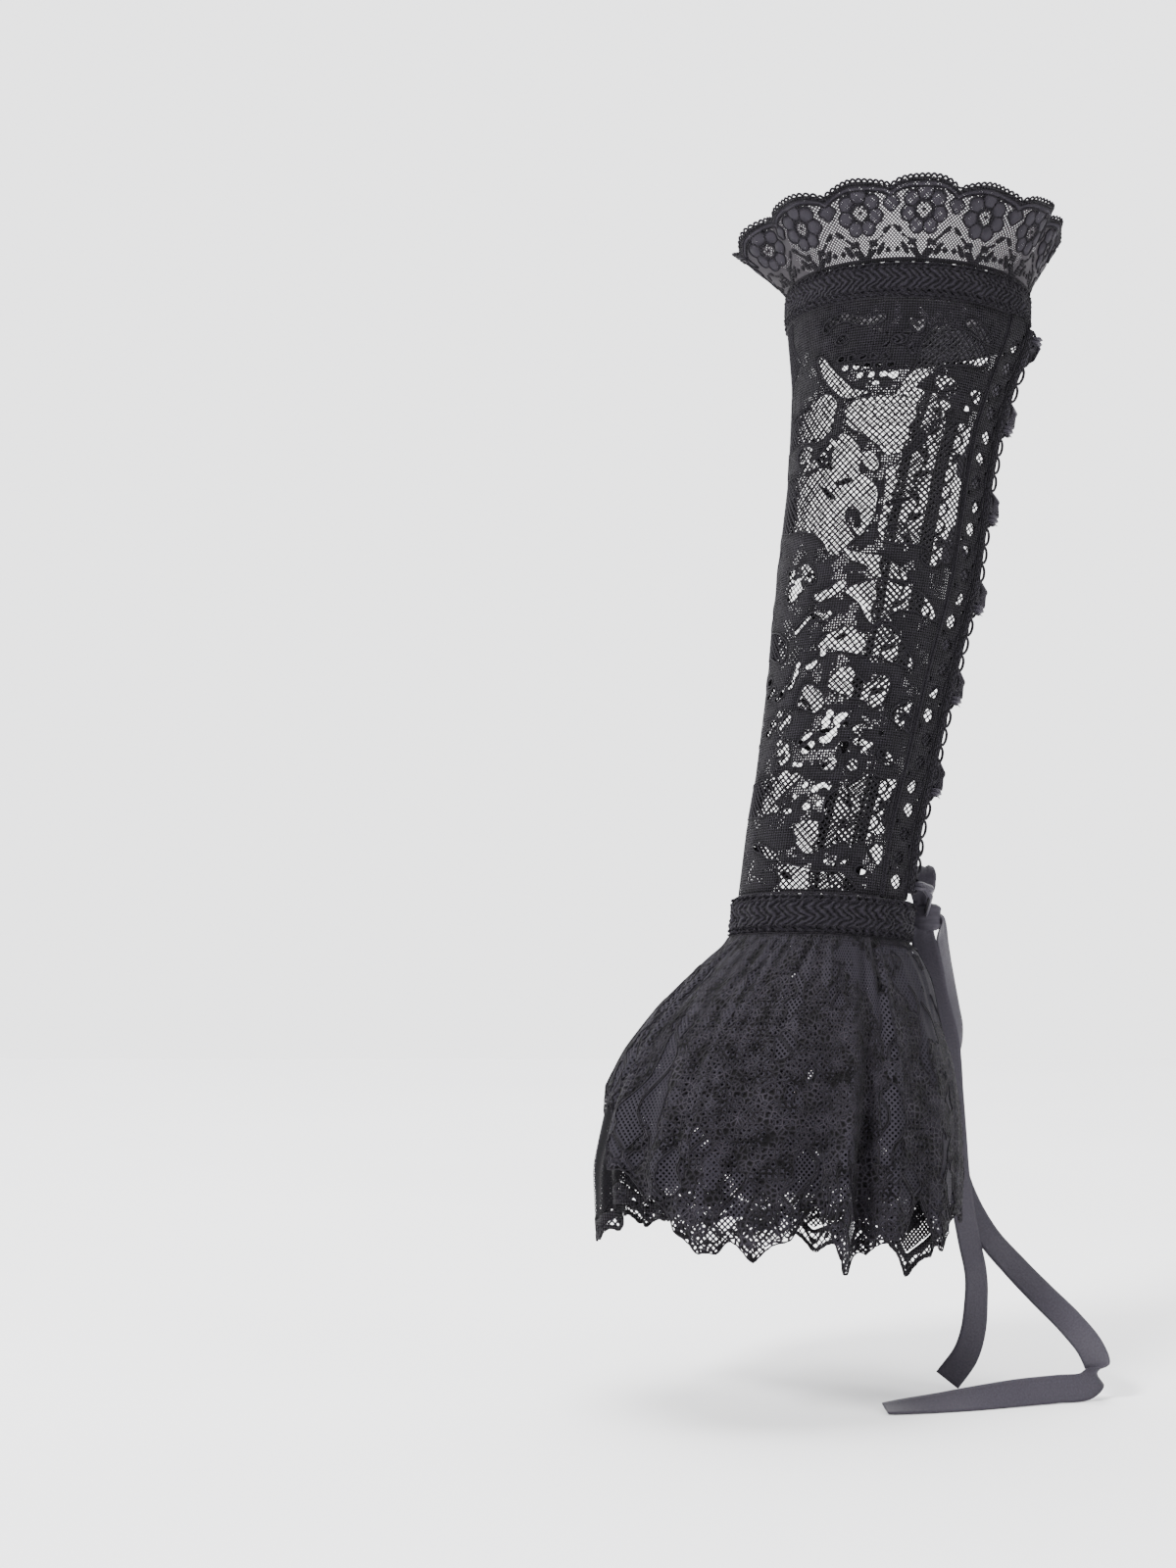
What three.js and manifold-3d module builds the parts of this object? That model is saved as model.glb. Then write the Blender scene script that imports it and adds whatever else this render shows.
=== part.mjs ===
// Lace oversleeve, as worn on a raised forearm.
// Millimetres, +Z up, -Y towards the viewer. The origin is the centre of the top band.

import * as THREE from 'three';
import { mergeVertices } from 'three/addons/utils/BufferGeometryUtils.js';
import Module from 'manifold-3d';

const wasm = await Module();
wasm.setup();

// Pose of the forearm, in degrees
const LEAN_BACK = 9.3;
const LEAN_SIDE = 2;

// Bands
const TOP_BAND_HEIGHT = 12;
const TOP_BAND_WALL = 2.2;
const WRIST_BAND_HEIGHT = 13.5;
const WRIST_BAND_WALL = 3.4;
const WRIST_BAND_CENTRE = -223;

// Cloth walls and the clearance between pieces that touch
const LACE_WALL = 1.2;
const PLACKET_WALL = 1.5;
const TAPE_WALL = 1;
const CLEARANCE = 0.3;

// Sections of the forearm, from under the top band to above the wrist band.
// shift moves the section sideways, so that the sleeve leans more than its rings do.
const SLEEVE_SECTIONS = [
  { z: 8, halfWidth: 43.2, halfDepth: 38.6, shift: 0 },
  { z: -8, halfWidth: 43.0, halfDepth: 38.2, shift: -0.1 },
  { z: -16, halfWidth: 41.6, halfDepth: 37.2, shift: -0.6 },
  { z: -29, halfWidth: 38.6, halfDepth: 35.0, shift: -2.3 },
  { z: -47, halfWidth: 36.2, halfDepth: 33.0, shift: -5.0 },
  { z: -66, halfWidth: 35.0, halfDepth: 31.6, shift: -6.8 },
  { z: -102, halfWidth: 34.6, halfDepth: 29.8, shift: -10.5 },
  { z: -120, halfWidth: 33.2, halfDepth: 28.3, shift: -13.2 },
  { z: -138, halfWidth: 31.6, halfDepth: 26.8, shift: -15.9 },
  { z: -173, halfWidth: 29.8, halfDepth: 24.5, shift: -21.1 },
  { z: -191, halfWidth: 29.2, halfDepth: 23.6, shift: -24.4 },
  { z: -216, halfWidth: 29.0, halfDepth: 23.0, shift: -27.0 },
  { z: -232, halfWidth: 29.0, halfDepth: 23.0, shift: -28.2 },
];

// The lacing gap, by the angle of the seam of each loop tape; 0 is +X and -90 faces the viewer
const NEAR_SEAM = { top: -18, wrist: -18 };
const FAR_SEAM = { top: 50, wrist: 66 };
const PLACKET_WIDTH = 12;
const TAPE_BASE = 2;
const EDGE_LIFT = 3;
const EDGE_LIFT_REACH = 17;
const LOOP_FLARE = 0.35;
const GAP_FALL = 14;

// Crescent loops of the tapes
const LOOP_PITCH = 6.6;
const LOOP_COUNT = 31;
const FIRST_LOOP = -12;
const LOOP_REACH = 3.9;
const LOOP_CORD = 1;
const LOOP_ROOT = 0.9;
const LOOP_HOLE = { start: 0.6, height: 4.5 };
const LOOP_CROWN = 1.8;

// Lacing ribbon
const RIBBON_WIDTH = 9.5;
const RIBBON_WALL = 0.9;
const RIBBON_GATHERED = 3.1;
const LOOPS_PER_CROSSING = 5;
const CROSSINGS = 6;
const TURN_CENTRE = 3.4;
const TURN_RADIUS = 1.85;
const OVER_CORD = 1.6;
const CROSSING_SPREAD = 1.1;
const CROSSING_START = 5;

// How each half of the lacing lifts off from its last loop towards the knot
const KNOT_APPROACH = [
  { distance: 5, drop: 0, out: 2.4, width: 3.1 },
  { distance: 8, drop: 1.4, out: 6, width: 5.1 },
];

// Openwork that is cut through the sleeve lace, a row for each patch of large gaps
const OPENWORK = [
  { angle: -108, z: -20, columns: 5, rows: 3, across: 4.0, down: 3.6, width: 2.6, height: 2.0 },
  { angle: -116, z: -146, columns: 3, rows: 2, across: 3.6, down: 3.5, width: 2.0, height: 2.0 },
  { angle: -92, z: -149, columns: 3, rows: 2, across: 4.4, down: 4.2, width: 2.6, height: 2.2 },
];

// Top frill, a row for each ridge and valley of its rim
const FRILL_SCALLOPS = 14;
const FRILL_SCALLOP_DEPTH = 3.6;
const FRILL_FOLDS = [
  { at: -180, spread: 21, rise: 17 },
  { at: -158, spread: 15, rise: 22 },
  { at: -140, spread: 19, rise: 22 },
  { at: -118, spread: 14, rise: 25 },
  { at: -92, spread: 15, rise: 26 },
  { at: -66, spread: 14, rise: 25 },
  { at: -42, spread: 16, rise: 25 },
  { at: -22, spread: 11, rise: 27 },
  { at: 0, spread: 13, rise: 26 },
  { at: 24, spread: 9, rise: 27 },
  { at: 48, spread: 15, rise: 25 },
  { at: 74, spread: 11, rise: 26 },
  { at: 100, spread: 16, rise: 24 },
  { at: 126, spread: 12, rise: 25 },
  { at: 152, spread: 18, rise: 21 },
];

// Sections of the flounce below the wrist band
const FLOUNCE_SECTIONS = [
  { down: 0, halfWidth: 29.0, halfDepth: 23.0, shift: -28.2 },
  { down: 13, halfWidth: 39.5, halfDepth: 31.0, shift: -31.5 },
  { down: 26, halfWidth: 48.0, halfDepth: 37.0, shift: -34.7 },
  { down: 40, halfWidth: 55.5, halfDepth: 42.0, shift: -36.8 },
  { down: 60, halfWidth: 61.5, halfDepth: 46.0, shift: -39.4 },
  { down: 81, halfWidth: 64.0, halfDepth: 48.0, shift: -41.0 },
  { down: 116, halfWidth: 62.0, halfDepth: 48.0, shift: -40.6 },
];

// Folds of the flounce: how far each ridge or valley stands out at the hem,
// and how far the outer and the inner layer hang there
const FLOUNCE_FOLDS = [
  { at: -180, reach: 1, outer: 54, inner: 108 },
  { at: -163, reach: -5, outer: 68, inner: 102 },
  { at: -148, reach: 1, outer: 84, inner: 94 },
  { at: -137, reach: -2, outer: 92, inner: 101 },
  { at: -125, reach: 0, outer: 100, inner: 98 },
  { at: -116, reach: 1, outer: 113, inner: 100 },
  { at: -107, reach: -3, outer: 107, inner: 98 },
  { at: -100, reach: 0, outer: 112, inner: 104 },
  { at: -90, reach: 0, outer: 106, inner: 98 },
  { at: -80, reach: -4, outer: 94, inner: 108 },
  { at: -72, reach: 0, outer: 116, inner: 104 },
  { at: -64, reach: -8, outer: 108, inner: 98 },
  { at: -56, reach: 1, outer: 106, inner: 104 },
  { at: -46, reach: -1, outer: 92, inner: 115 },
  { at: -35, reach: 1, outer: 109, inner: 108 },
  { at: -22, reach: -3, outer: 98, inner: 104 },
  { at: -6, reach: -2, outer: 96, inner: 99 },
  { at: 14, reach: -6, outer: 86, inner: 94 },
  { at: 38, reach: 1, outer: 90, inner: 101 },
  { at: 62, reach: -6, outer: 84, inner: 93 },
  { at: 86, reach: 1, outer: 92, inner: 103 },
  { at: 110, reach: -6, outer: 82, inner: 94 },
  { at: 134, reach: 1, outer: 88, inner: 102 },
  { at: 158, reach: -5, outer: 70, inner: 96 },
];
const COLUMNS_PER_FOLD = 3;
const FLOUNCE_FOLDED = 95;
const FLOUNCE_TOP = WRIST_BAND_CENTRE - WRIST_BAND_HEIGHT / 2 - CLEARANCE;
const LAYER_SPACING_TOP = 1.8;
const LAYER_SPACING_HEM = 4.4;
const TRIM_DEPTH = 8;
const TRIM_SEAM = 0.8;

// Bow at the wrist and the free ends, in the frame of the room.
// turn is the angle of the ribbon's width about the vertical, 0 along X and 90 along Y,
// and rise is its angle above the level.
const KNOT = { centre: [4.2, -18, -218.5], size: [11.4, 8, 10] };
const KNOT_REACH = 6.4;
const BOW_LOOP_UP = [
  { at: [2.4, -20.0, -213.0], turn: 4, rise: 0, width: 4.5 },
  { at: [2.6, -22.2, -208.2], turn: 4, rise: 0, width: 8.5 },
  { at: [3.4, -21.8, -202.6], turn: 0, rise: 0, width: 9.5 },
  { at: [3.9, -18.6, -200.2], turn: -4, rise: 0, width: 9.5 },
  { at: [4.2, -15.0, -202.4], turn: -4, rise: 0, width: 9.5 },
  { at: [4.2, -14.0, -207.6], turn: 0, rise: 0, width: 8.5 },
  { at: [4.0, -16.0, -213.0], turn: 0, rise: 0, width: 4.5 },
];
const BOW_LOOP_SIDE = [
  { at: [11.0, -17.0, -219.0], turn: 82, rise: 0, width: 5.0 },
  { at: [12.3, -14.4, -225.4], turn: 66, rise: 0, width: 8.0 },
  { at: [14.2, -12.0, -236.0], turn: 60, rise: 0, width: 9.5 },
  { at: [16.0, -10.8, -249.0], turn: 60, rise: 0, width: 9.5 },
  { at: [16.8, -10.6, -259.0], turn: 60, rise: 0, width: 9.5 },
  { at: [15.8, -10.6, -267.5], turn: 62, rise: 0, width: 9.5 },
  { at: [12.6, -10.6, -272.4], turn: 66, rise: 0, width: 9.5 },
  { at: [9.6, -10.8, -266.0], turn: 70, rise: 0, width: 9.5 },
  { at: [8.0, -11.2, -254.0], turn: 72, rise: 0, width: 9.5 },
  { at: [6.4, -12.2, -238.0], turn: 80, rise: 0, width: 8.0 },
  { at: [5.2, -14.8, -227.5], turn: 90, rise: 0, width: 4.0 },
  { at: [5.0, -15.2, -223.9], turn: 90, rise: 0, width: 3.0 },
];
const TAIL_SHORT = [
  { at: [3.0, -20.6, -223.9], turn: 0, rise: 0, width: 8.0 },
  { at: [3.3, -21.2, -227.0], turn: 0, rise: 0, width: 8.8 },
  { at: [4.4, -23.4, -234.0], turn: 0, rise: 0, width: 9.3 },
  { at: [6.6, -25.8, -246.0], turn: 4, rise: 0, width: 9.5 },
  { at: [10.5, -28.6, -262.4], turn: 14, rise: 0, width: 9.5 },
  { at: [11.8, -30.6, -279.0], turn: 22, rise: 0, width: 9.5 },
  { at: [12.9, -32.8, -295.0], turn: 26, rise: 0, width: 9.5 },
  { at: [13.9, -34.4, -309.2], turn: 28, rise: 0, width: 9.5 },
  { at: [17.1, -35.4, -329.6], turn: 30, rise: 0, width: 9.5 },
  { at: [19.7, -36.2, -343.1], turn: 30, rise: 0, width: 9.5 },
  { at: [19.6, -36.8, -353.1], turn: 24, rise: 0, width: 9.5 },
  { at: [18.4, -38.0, -362.6], turn: 16, rise: 0, width: 9.5 },
  { at: [15.6, -39.0, -370.6], turn: 6, rise: 0, width: 9.5 },
  { at: [9.0, -40.4, -379.2], turn: -6, rise: 0, width: 9.5 },
];
const TAIL_LONG = [
  { at: [4.0, -18.2, -224.1], turn: 0, rise: 0, width: 4.5 },
  { at: [4.4, -18.4, -227.7], turn: 8, rise: 0, width: 6.0 },
  { at: [6.6, -19.2, -236.0], turn: 24, rise: 0, width: 8.5 },
  { at: [8.8, -20.4, -252.0], turn: 34, rise: 0, width: 9.5 },
  { at: [10.4, -21.6, -272.0], turn: 40, rise: 0, width: 9.5 },
  { at: [12.4, -22.8, -294.0], turn: 38, rise: 0, width: 9.5 },
  { at: [16.6, -24.8, -314.0], turn: 32, rise: 0, width: 9.5 },
  { at: [24.2, -28.4, -329.6], turn: 24, rise: 8, width: 9.5 },
  { at: [33.6, -33.6, -340.6], turn: 16, rise: 16, width: 9.5 },
  { at: [42.2, -39.4, -349.4], turn: 12, rise: 24, width: 9.5 },
  { at: [51.0, -46.0, -358.0], turn: 10, rise: 34, width: 9.5 },
  { at: [57.2, -52.0, -366.0], turn: 10, rise: 48, width: 9.5 },
  { at: [58.6, -56.4, -372.4], turn: 30, rise: 68, width: 9.5 },
  { at: [54.4, -59.0, -376.8], turn: 70, rise: 76, width: 9.5 },
  { at: [43.8, -61.8, -377.4], turn: 80, rise: 72, width: 9.5 },
  { at: [30.2, -65.6, -377.8], turn: 82, rise: 58, width: 9.5 },
  { at: [16.3, -69.2, -378.7], turn: 82, rise: 42, width: 9.5 },
  { at: [2.6, -72.4, -379.6], turn: 82, rise: 27, width: 9.5 },
  { at: [-10.9, -74.6, -380.4], turn: 82, rise: 15, width: 9.5 },
  { at: [-16.6, -75.2, -380.8], turn: 82, rise: 8, width: 9.5 },
];

const LACE_BLACK = 0x26222a;
const SATIN_BLACK = 0x2b2730;

/** Linear interpolation in a table whose rows ascend or descend in one column. */
function readTable(rows, key, at, column) {
  const up = rows[rows.length - 1][key] > rows[0][key];
  const inside = (row) => (up ? row[key] >= at : row[key] <= at);
  let next = rows.findIndex(inside);
  if (next < 0) next = rows.length - 1;
  if (next === 0) next = 1;
  const a = rows[next - 1];
  const b = rows[next];
  const share = THREE.MathUtils.clamp((at - a[key]) / (b[key] - a[key]), 0, 1);
  return THREE.MathUtils.lerp(a[column], b[column], share);
}

/** The two rows of a table of folds on either side of an angle, and the share between them. */
function foldAt(rows, angle) {
  const turn = THREE.MathUtils.euclideanModulo(angle + 180, 360) - 180;
  let last = rows.length - 1;
  while (rows[last].at > turn) last -= 1;
  const a = rows[last];
  const b = rows[(last + 1) % rows.length];
  const end = b.at > a.at ? b.at : b.at + 360;
  return { a, b, share: (turn - a.at) / (end - a.at) };
}

/** A column of a table of folds, rounded over ridges and valleys or straight between them. */
function readFold(rows, angle, column, rounded) {
  const { a, b, share } = foldAt(rows, angle);
  const eased = rounded ? THREE.MathUtils.smoothstep(share, 0, 1) : share;
  return THREE.MathUtils.lerp(a[column], b[column], eased);
}

/** The ellipse of the forearm at a height. */
function sleeveSection(z) {
  return {
    halfWidth: readTable(SLEEVE_SECTIONS, 'z', z, 'halfWidth'),
    halfDepth: readTable(SLEEVE_SECTIONS, 'z', z, 'halfDepth'),
    shift: readTable(SLEEVE_SECTIONS, 'z', z, 'shift'),
  };
}

/** A point on an ellipse, moved out along the ellipse's normal. */
function onEllipse(section, angle, z, out) {
  const turn = THREE.MathUtils.degToRad(angle);
  const nx = Math.cos(turn) / section.halfWidth;
  const ny = Math.sin(turn) / section.halfDepth;
  const length = Math.hypot(nx, ny);
  return new THREE.Vector3(
    section.shift + section.halfWidth * Math.cos(turn) + (out * nx) / length,
    section.halfDepth * Math.sin(turn) + (out * ny) / length,
    z,
  );
}

/** Millimetres around the sleeve for one degree. */
function arcPerDegree(z, angle) {
  const section = sleeveSection(z);
  const turn = THREE.MathUtils.degToRad(angle);
  const along = Math.hypot(section.halfWidth * Math.sin(turn), section.halfDepth * Math.cos(turn));
  return THREE.MathUtils.degToRad(along);
}

/** How far the cloth stands off the forearm at a distance from a tape's seam, plus towards the gap. */
function edgeLift(distance) {
  if (distance <= 0) {
    const share = Math.max(0, 1 + distance / EDGE_LIFT_REACH);
    return EDGE_LIFT * share * share;
  }
  const top = EDGE_LIFT + LOOP_FLARE * LOOP_REACH;
  if (distance <= LOOP_REACH) return THREE.MathUtils.lerp(EDGE_LIFT, top, distance / LOOP_REACH);
  const fall = THREE.MathUtils.smoothstep(distance, LOOP_REACH, LOOP_REACH + GAP_FALL);
  return THREE.MathUtils.lerp(top, 1, fall);
}

/** The angle of a seam at a height. */
function seamAngle(seam, z) {
  return THREE.MathUtils.lerp(seam.top, seam.wrist, z / WRIST_BAND_CENTRE);
}

/** A point of the sleeve's surface, near a lacing edge lifted off the forearm. */
function onSleeve(angle, z, out) {
  const turn = angle < -90 ? angle + 360 : angle;
  const near = seamAngle(NEAR_SEAM, z);
  const far = seamAngle(FAR_SEAM, z);
  const fromNear = (turn - near) * arcPerDegree(z, (turn + near) / 2);
  const fromFar = (far - turn) * arcPerDegree(z, (turn + far) / 2);
  const inGap = turn > near && turn < far;
  const nearest = turn <= near ? fromNear : fromFar;
  const lift = inGap ? Math.max(edgeLift(fromNear), edgeLift(fromFar)) : edgeLift(nearest);
  return onEllipse(sleeveSection(z), angle, z, lift + out);
}

/** The angle a number of millimetres to one side of an angle. */
function stepAngle(z, angle, millimetres) {
  const first = angle + millimetres / arcPerDegree(z, angle);
  return angle + millimetres / arcPerDegree(z, (angle + first) / 2);
}

/** A closed solid between two grids of points, outside and inside, row by row. */
function wallBetween(outside, inside, closedAround) {
  const rows = outside.length;
  const columns = outside[0].length;
  const positions = [];
  for (const grid of [outside, inside]) {
    for (const row of grid) for (const point of row) positions.push(point.x, point.y, point.z);
  }
  const index = [];
  const id = (layer, row, column) => layer * rows * columns + row * columns + (column % columns);
  const quad = (a, b, c, d) => index.push(a, b, c, a, c, d);
  const spans = closedAround ? columns : columns - 1;
  for (let row = 0; row < rows - 1; row += 1) {
    for (let column = 0; column < spans; column += 1) {
      const corners = (layer) => [
        id(layer, row, column),
        id(layer, row, column + 1),
        id(layer, row + 1, column + 1),
        id(layer, row + 1, column),
      ];
      quad(...corners(0));
      quad(...corners(1).reverse());
    }
  }
  for (let column = 0; column < spans; column += 1) {
    const last = rows - 1;
    quad(id(1, 0, column), id(1, 0, column + 1), id(0, 0, column + 1), id(0, 0, column));
    quad(id(0, last, column), id(0, last, column + 1), id(1, last, column + 1), id(1, last, column));
  }
  if (!closedAround) {
    const last = columns - 1;
    for (let row = 0; row < rows - 1; row += 1) {
      quad(id(0, row, 0), id(0, row + 1, 0), id(1, row + 1, 0), id(1, row, 0));
      quad(id(0, row, last), id(1, row, last), id(1, row + 1, last), id(0, row + 1, last));
    }
  }
  const geometry = new THREE.BufferGeometry();
  geometry.setAttribute('position', new THREE.Float32BufferAttribute(positions, 3));
  geometry.setIndex(index);
  return outwards(geometry);
}

/** The same closed solid with its faces turned outwards. */
function outwards(geometry) {
  const at = geometry.getAttribute('position');
  const index = geometry.getIndex();
  const [a, b, c] = [new THREE.Vector3(), new THREE.Vector3(), new THREE.Vector3()];
  let volume = 0;
  for (let i = 0; i < index.count; i += 3) {
    a.fromBufferAttribute(at, index.getX(i));
    b.fromBufferAttribute(at, index.getX(i + 1));
    c.fromBufferAttribute(at, index.getX(i + 2));
    volume += a.dot(b.cross(c));
  }
  if (volume < 0) {
    for (let i = 0; i < index.count; i += 3) {
      const first = index.getX(i);
      index.setX(i, index.getX(i + 2));
      index.setX(i + 2, first);
    }
  }
  geometry.computeVertexNormals();
  return geometry;
}

/** A solid of one connected body from a geometry, for cutting. */
function toManifold(geometry) {
  const bare = new THREE.BufferGeometry();
  bare.setAttribute('position', geometry.getAttribute('position'));
  bare.setIndex(geometry.getIndex());
  const merged = mergeVertices(bare, 1e-4);
  const mesh = new wasm.Mesh({
    numProp: 3,
    vertProperties: new Float32Array(merged.getAttribute('position').array),
    triVerts: new Uint32Array(merged.getIndex().array),
  });
  return new wasm.Manifold(mesh);
}

/** The geometry of a cut solid. */
function fromManifold(solid) {
  const mesh = solid.getMesh();
  const geometry = new THREE.BufferGeometry();
  geometry.setAttribute('position', new THREE.Float32BufferAttribute(mesh.vertProperties, 3));
  geometry.setIndex(new THREE.Uint32BufferAttribute(mesh.triVerts, 1));
  geometry.computeVertexNormals();
  return geometry;
}

/** A shell whose wall lies level in every ring, so that its rims are flat. */
function ringShell(rows, columns, pointAt, wall) {
  const outside = [];
  const inside = [];
  for (let row = 0; row <= rows; row += 1) {
    const ring = [];
    for (let column = 0; column < columns; column += 1) ring.push(pointAt(column / columns, row / rows));
    const shifted = (side) =>
      ring.map((point, column) => {
        const before = ring[(column + columns - 1) % columns];
        const after = ring[(column + 1) % columns];
        const out = new THREE.Vector3(after.y - before.y, before.x - after.x, 0).normalize();
        return point.clone().addScaledVector(out, (side * wall) / 2);
      });
    outside.push(shifted(1));
    inside.push(shifted(-1));
  }
  return wallBetween(outside, inside, true);
}

/** A band around the arm with rounded edges. */
function bandGeometry(centre, height, wall, bulge) {
  const columns = 28;
  const profile = [
    { out: -wall / 2, up: -height / 2 },
    { out: wall / 2, up: -height / 2 },
    { out: wall / 2 + bulge, up: -height / 5 },
    { out: wall / 2 + bulge, up: height / 5 },
    { out: wall / 2, up: height / 2 },
    { out: -wall / 2, up: height / 2 },
  ];
  const outside = profile.slice(1, 5);
  const grid = (rows) =>
    rows.map(({ out, up }) => {
      const ring = [];
      for (let column = 0; column < columns; column += 1) {
        const z = centre + up;
        ring.push(onEllipse(sleeveSection(z), (column * 360) / columns, z, out));
      }
      return ring;
    });
  const inner = outside.map(({ up }) => ({ out: -wall / 2, up }));
  return wallBetween(grid(outside), grid(inner), true);
}

/** A strip of the sleeve between two angles that depend on the height. */
function stripGeometry(from, to, top, bottom, columns, wall) {
  const heights = SLEEVE_SECTIONS.map(({ z }) => z).filter((z) => z < top && z > bottom);
  const rows = [top, ...heights, bottom];
  const grid = (side) =>
    rows.map((z) => {
      const ring = [];
      for (let column = 0; column <= columns; column += 1) {
        const angle = THREE.MathUtils.lerp(from(z), to(z), column / columns);
        ring.push(onSleeve(angle, z, (side * wall) / 2));
      }
      return ring;
    });
  return wallBetween(grid(1), grid(-1), false);
}

const SLEEVE_TOP = -TOP_BAND_HEIGHT / 2 - CLEARANCE;
const SLEEVE_BOTTOM = WRIST_BAND_CENTRE + WRIST_BAND_HEIGHT / 2 + CLEARANCE;

const nearPlacketEdge = (z) => stepAngle(z, seamAngle(NEAR_SEAM, z), -TAPE_BASE - PLACKET_WIDTH);
const farPlacketEdge = (z) => stepAngle(z, seamAngle(FAR_SEAM, z), TAPE_BASE + PLACKET_WIDTH);

/** The lace tube, open between the plackets, with its patches of openwork cut through. */
function sleeveLaceGeometry() {
  const columns = 26;
  const shell = stripGeometry(
    (z) => stepAngle(z, farPlacketEdge(z), CLEARANCE) - 360,
    (z) => stepAngle(z, nearPlacketEdge(z), -CLEARANCE),
    SLEEVE_TOP,
    SLEEVE_BOTTOM,
    columns,
    LACE_WALL,
  );
  let solid = toManifold(shell);
  for (const patch of OPENWORK) {
    for (let row = 0; row < patch.rows; row += 1) {
      for (let column = 0; column < patch.columns; column += 1) {
        const across = (column - (patch.columns - 1) / 2 + (row % 2) / 2) * patch.across;
        const z = patch.z - row * patch.down;
        const angle = stepAngle(z, patch.angle, across);
        solid = solid.subtract(toManifold(gapCutter(angle, z, patch.width, patch.height)));
      }
    }
  }
  return fromManifold(solid);
}

/** A six-sided cutter that stands on the sleeve's surface. */
function gapCutter(angle, z, width, height) {
  const cutter = new THREE.CylinderGeometry(0.5, 0.5, 6, 6);
  const centre = onSleeve(angle, z, 0);
  const outward = onSleeve(angle, z, 1).sub(centre).normalize();
  const up = new THREE.Vector3(0, 0, 1);
  const side = new THREE.Vector3().crossVectors(outward, up).normalize();
  const place = new THREE.Matrix4().makeBasis(
    side.multiplyScalar(width),
    outward,
    up.multiplyScalar(height),
  );
  cutter.applyMatrix4(place.setPosition(centre));
  return cutter;
}

/** The plackets lie between the sleeve lace and the loop tapes. */
function placketGeometry(seam, side) {
  return stripGeometry(
    (z) => stepAngle(z, seamAngle(seam, z), side * (TAPE_BASE + CLEARANCE)),
    (z) => stepAngle(z, seamAngle(seam, z), side * (TAPE_BASE + PLACKET_WIDTH)),
    SLEEVE_TOP,
    SLEEVE_BOTTOM,
    3,
    PLACKET_WALL,
  );
}

/** A tape with a row of crescent loops; side is 1 where the gap lies at growing angles. */
function loopTapeGeometry(seam, side) {
  const top = FIRST_LOOP + LOOP_PITCH / 2;
  const outline = new THREE.Shape();
  outline.moveTo(-TAPE_BASE, 0);
  for (let loop = 1; loop <= LOOP_COUNT; loop += 1) outline.lineTo(-TAPE_BASE, -loop * LOOP_PITCH);
  for (let loop = LOOP_COUNT; loop > 0; loop -= 1) {
    const middle = -(loop - 0.5) * LOOP_PITCH;
    outline.lineTo(LOOP_ROOT, middle - LOOP_PITCH / 2);
    outline.lineTo(LOOP_REACH, middle - LOOP_CROWN);
    outline.lineTo(LOOP_REACH, middle + LOOP_CROWN);
    const hole = new THREE.Path();
    hole.moveTo(LOOP_HOLE.start, middle - LOOP_HOLE.height / 2);
    hole.lineTo(LOOP_REACH - LOOP_CORD, middle - LOOP_HOLE.height / 2);
    hole.lineTo(LOOP_REACH - LOOP_CORD, middle + LOOP_HOLE.height / 2);
    hole.lineTo(LOOP_HOLE.start, middle + LOOP_HOLE.height / 2);
    hole.closePath();
    outline.holes.push(hole);
  }
  outline.lineTo(LOOP_ROOT, 0);
  outline.closePath();
  const flat = new THREE.ExtrudeGeometry(outline, { depth: TAPE_WALL, bevelEnabled: false });
  const at = flat.getAttribute('position');
  for (let i = 0; i < at.count; i += 1) {
    const z = top + at.getY(i);
    const out = at.getZ(i) - TAPE_WALL / 2;
    const point = onSleeve(stepAngle(z, seamAngle(seam, z), side * at.getX(i)), z, out);
    at.setXYZ(i, point.x, point.y, point.z);
  }
  const bare = new THREE.BufferGeometry();
  bare.setAttribute('position', at);
  return outwards(mergeVertices(bare, 1e-4));
}

/** A flat ribbon swept along points, each with the direction of its width. */
function ribbonGeometry(stations) {
  const count = stations.length;
  const outside = [];
  const inside = [];
  for (let i = 0; i < count; i += 1) {
    const before = stations[Math.max(i - 1, 0)].point;
    const after = stations[Math.min(i + 1, count - 1)].point;
    const along = after.clone().sub(before).normalize();
    const { point, width } = stations[i];
    const across = stations[i].across.clone();
    across.addScaledVector(along, -along.dot(across)).normalize();
    const face = new THREE.Vector3().crossVectors(along, across).normalize();
    const corner = (u, w) =>
      point.clone().addScaledVector(across, (u * width) / 2).addScaledVector(face, (w * RIBBON_WALL) / 2);
    outside.push([corner(-1, 1), corner(1, 1)]);
    inside.push([corner(-1, -1), corner(1, -1)]);
  }
  return wallBetween(outside, inside, false);
}

/** A ribbon through a table of points in the room, smooth between its rows. */
function freeRibbon(rows, steps) {
  const curve = new THREE.CatmullRomCurve3(rows.map(({ at }) => new THREE.Vector3(...at)));
  const stations = [];
  for (let step = 0; step <= steps; step += 1) {
    const place = (step / steps) * (rows.length - 1);
    const row = Math.min(Math.floor(place), rows.length - 2);
    const between = (column) => THREE.MathUtils.lerp(rows[row][column], rows[row + 1][column], place - row);
    const turn = THREE.MathUtils.degToRad(between('turn'));
    const rise = THREE.MathUtils.degToRad(between('rise'));
    const level = Math.cos(rise);
    stations.push({
      point: curve.getPoint(step / steps),
      across: new THREE.Vector3(level * Math.cos(turn), level * Math.sin(turn), Math.sin(rise)),
      width: between('width'),
    });
  }
  return ribbonGeometry(stations);
}

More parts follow.
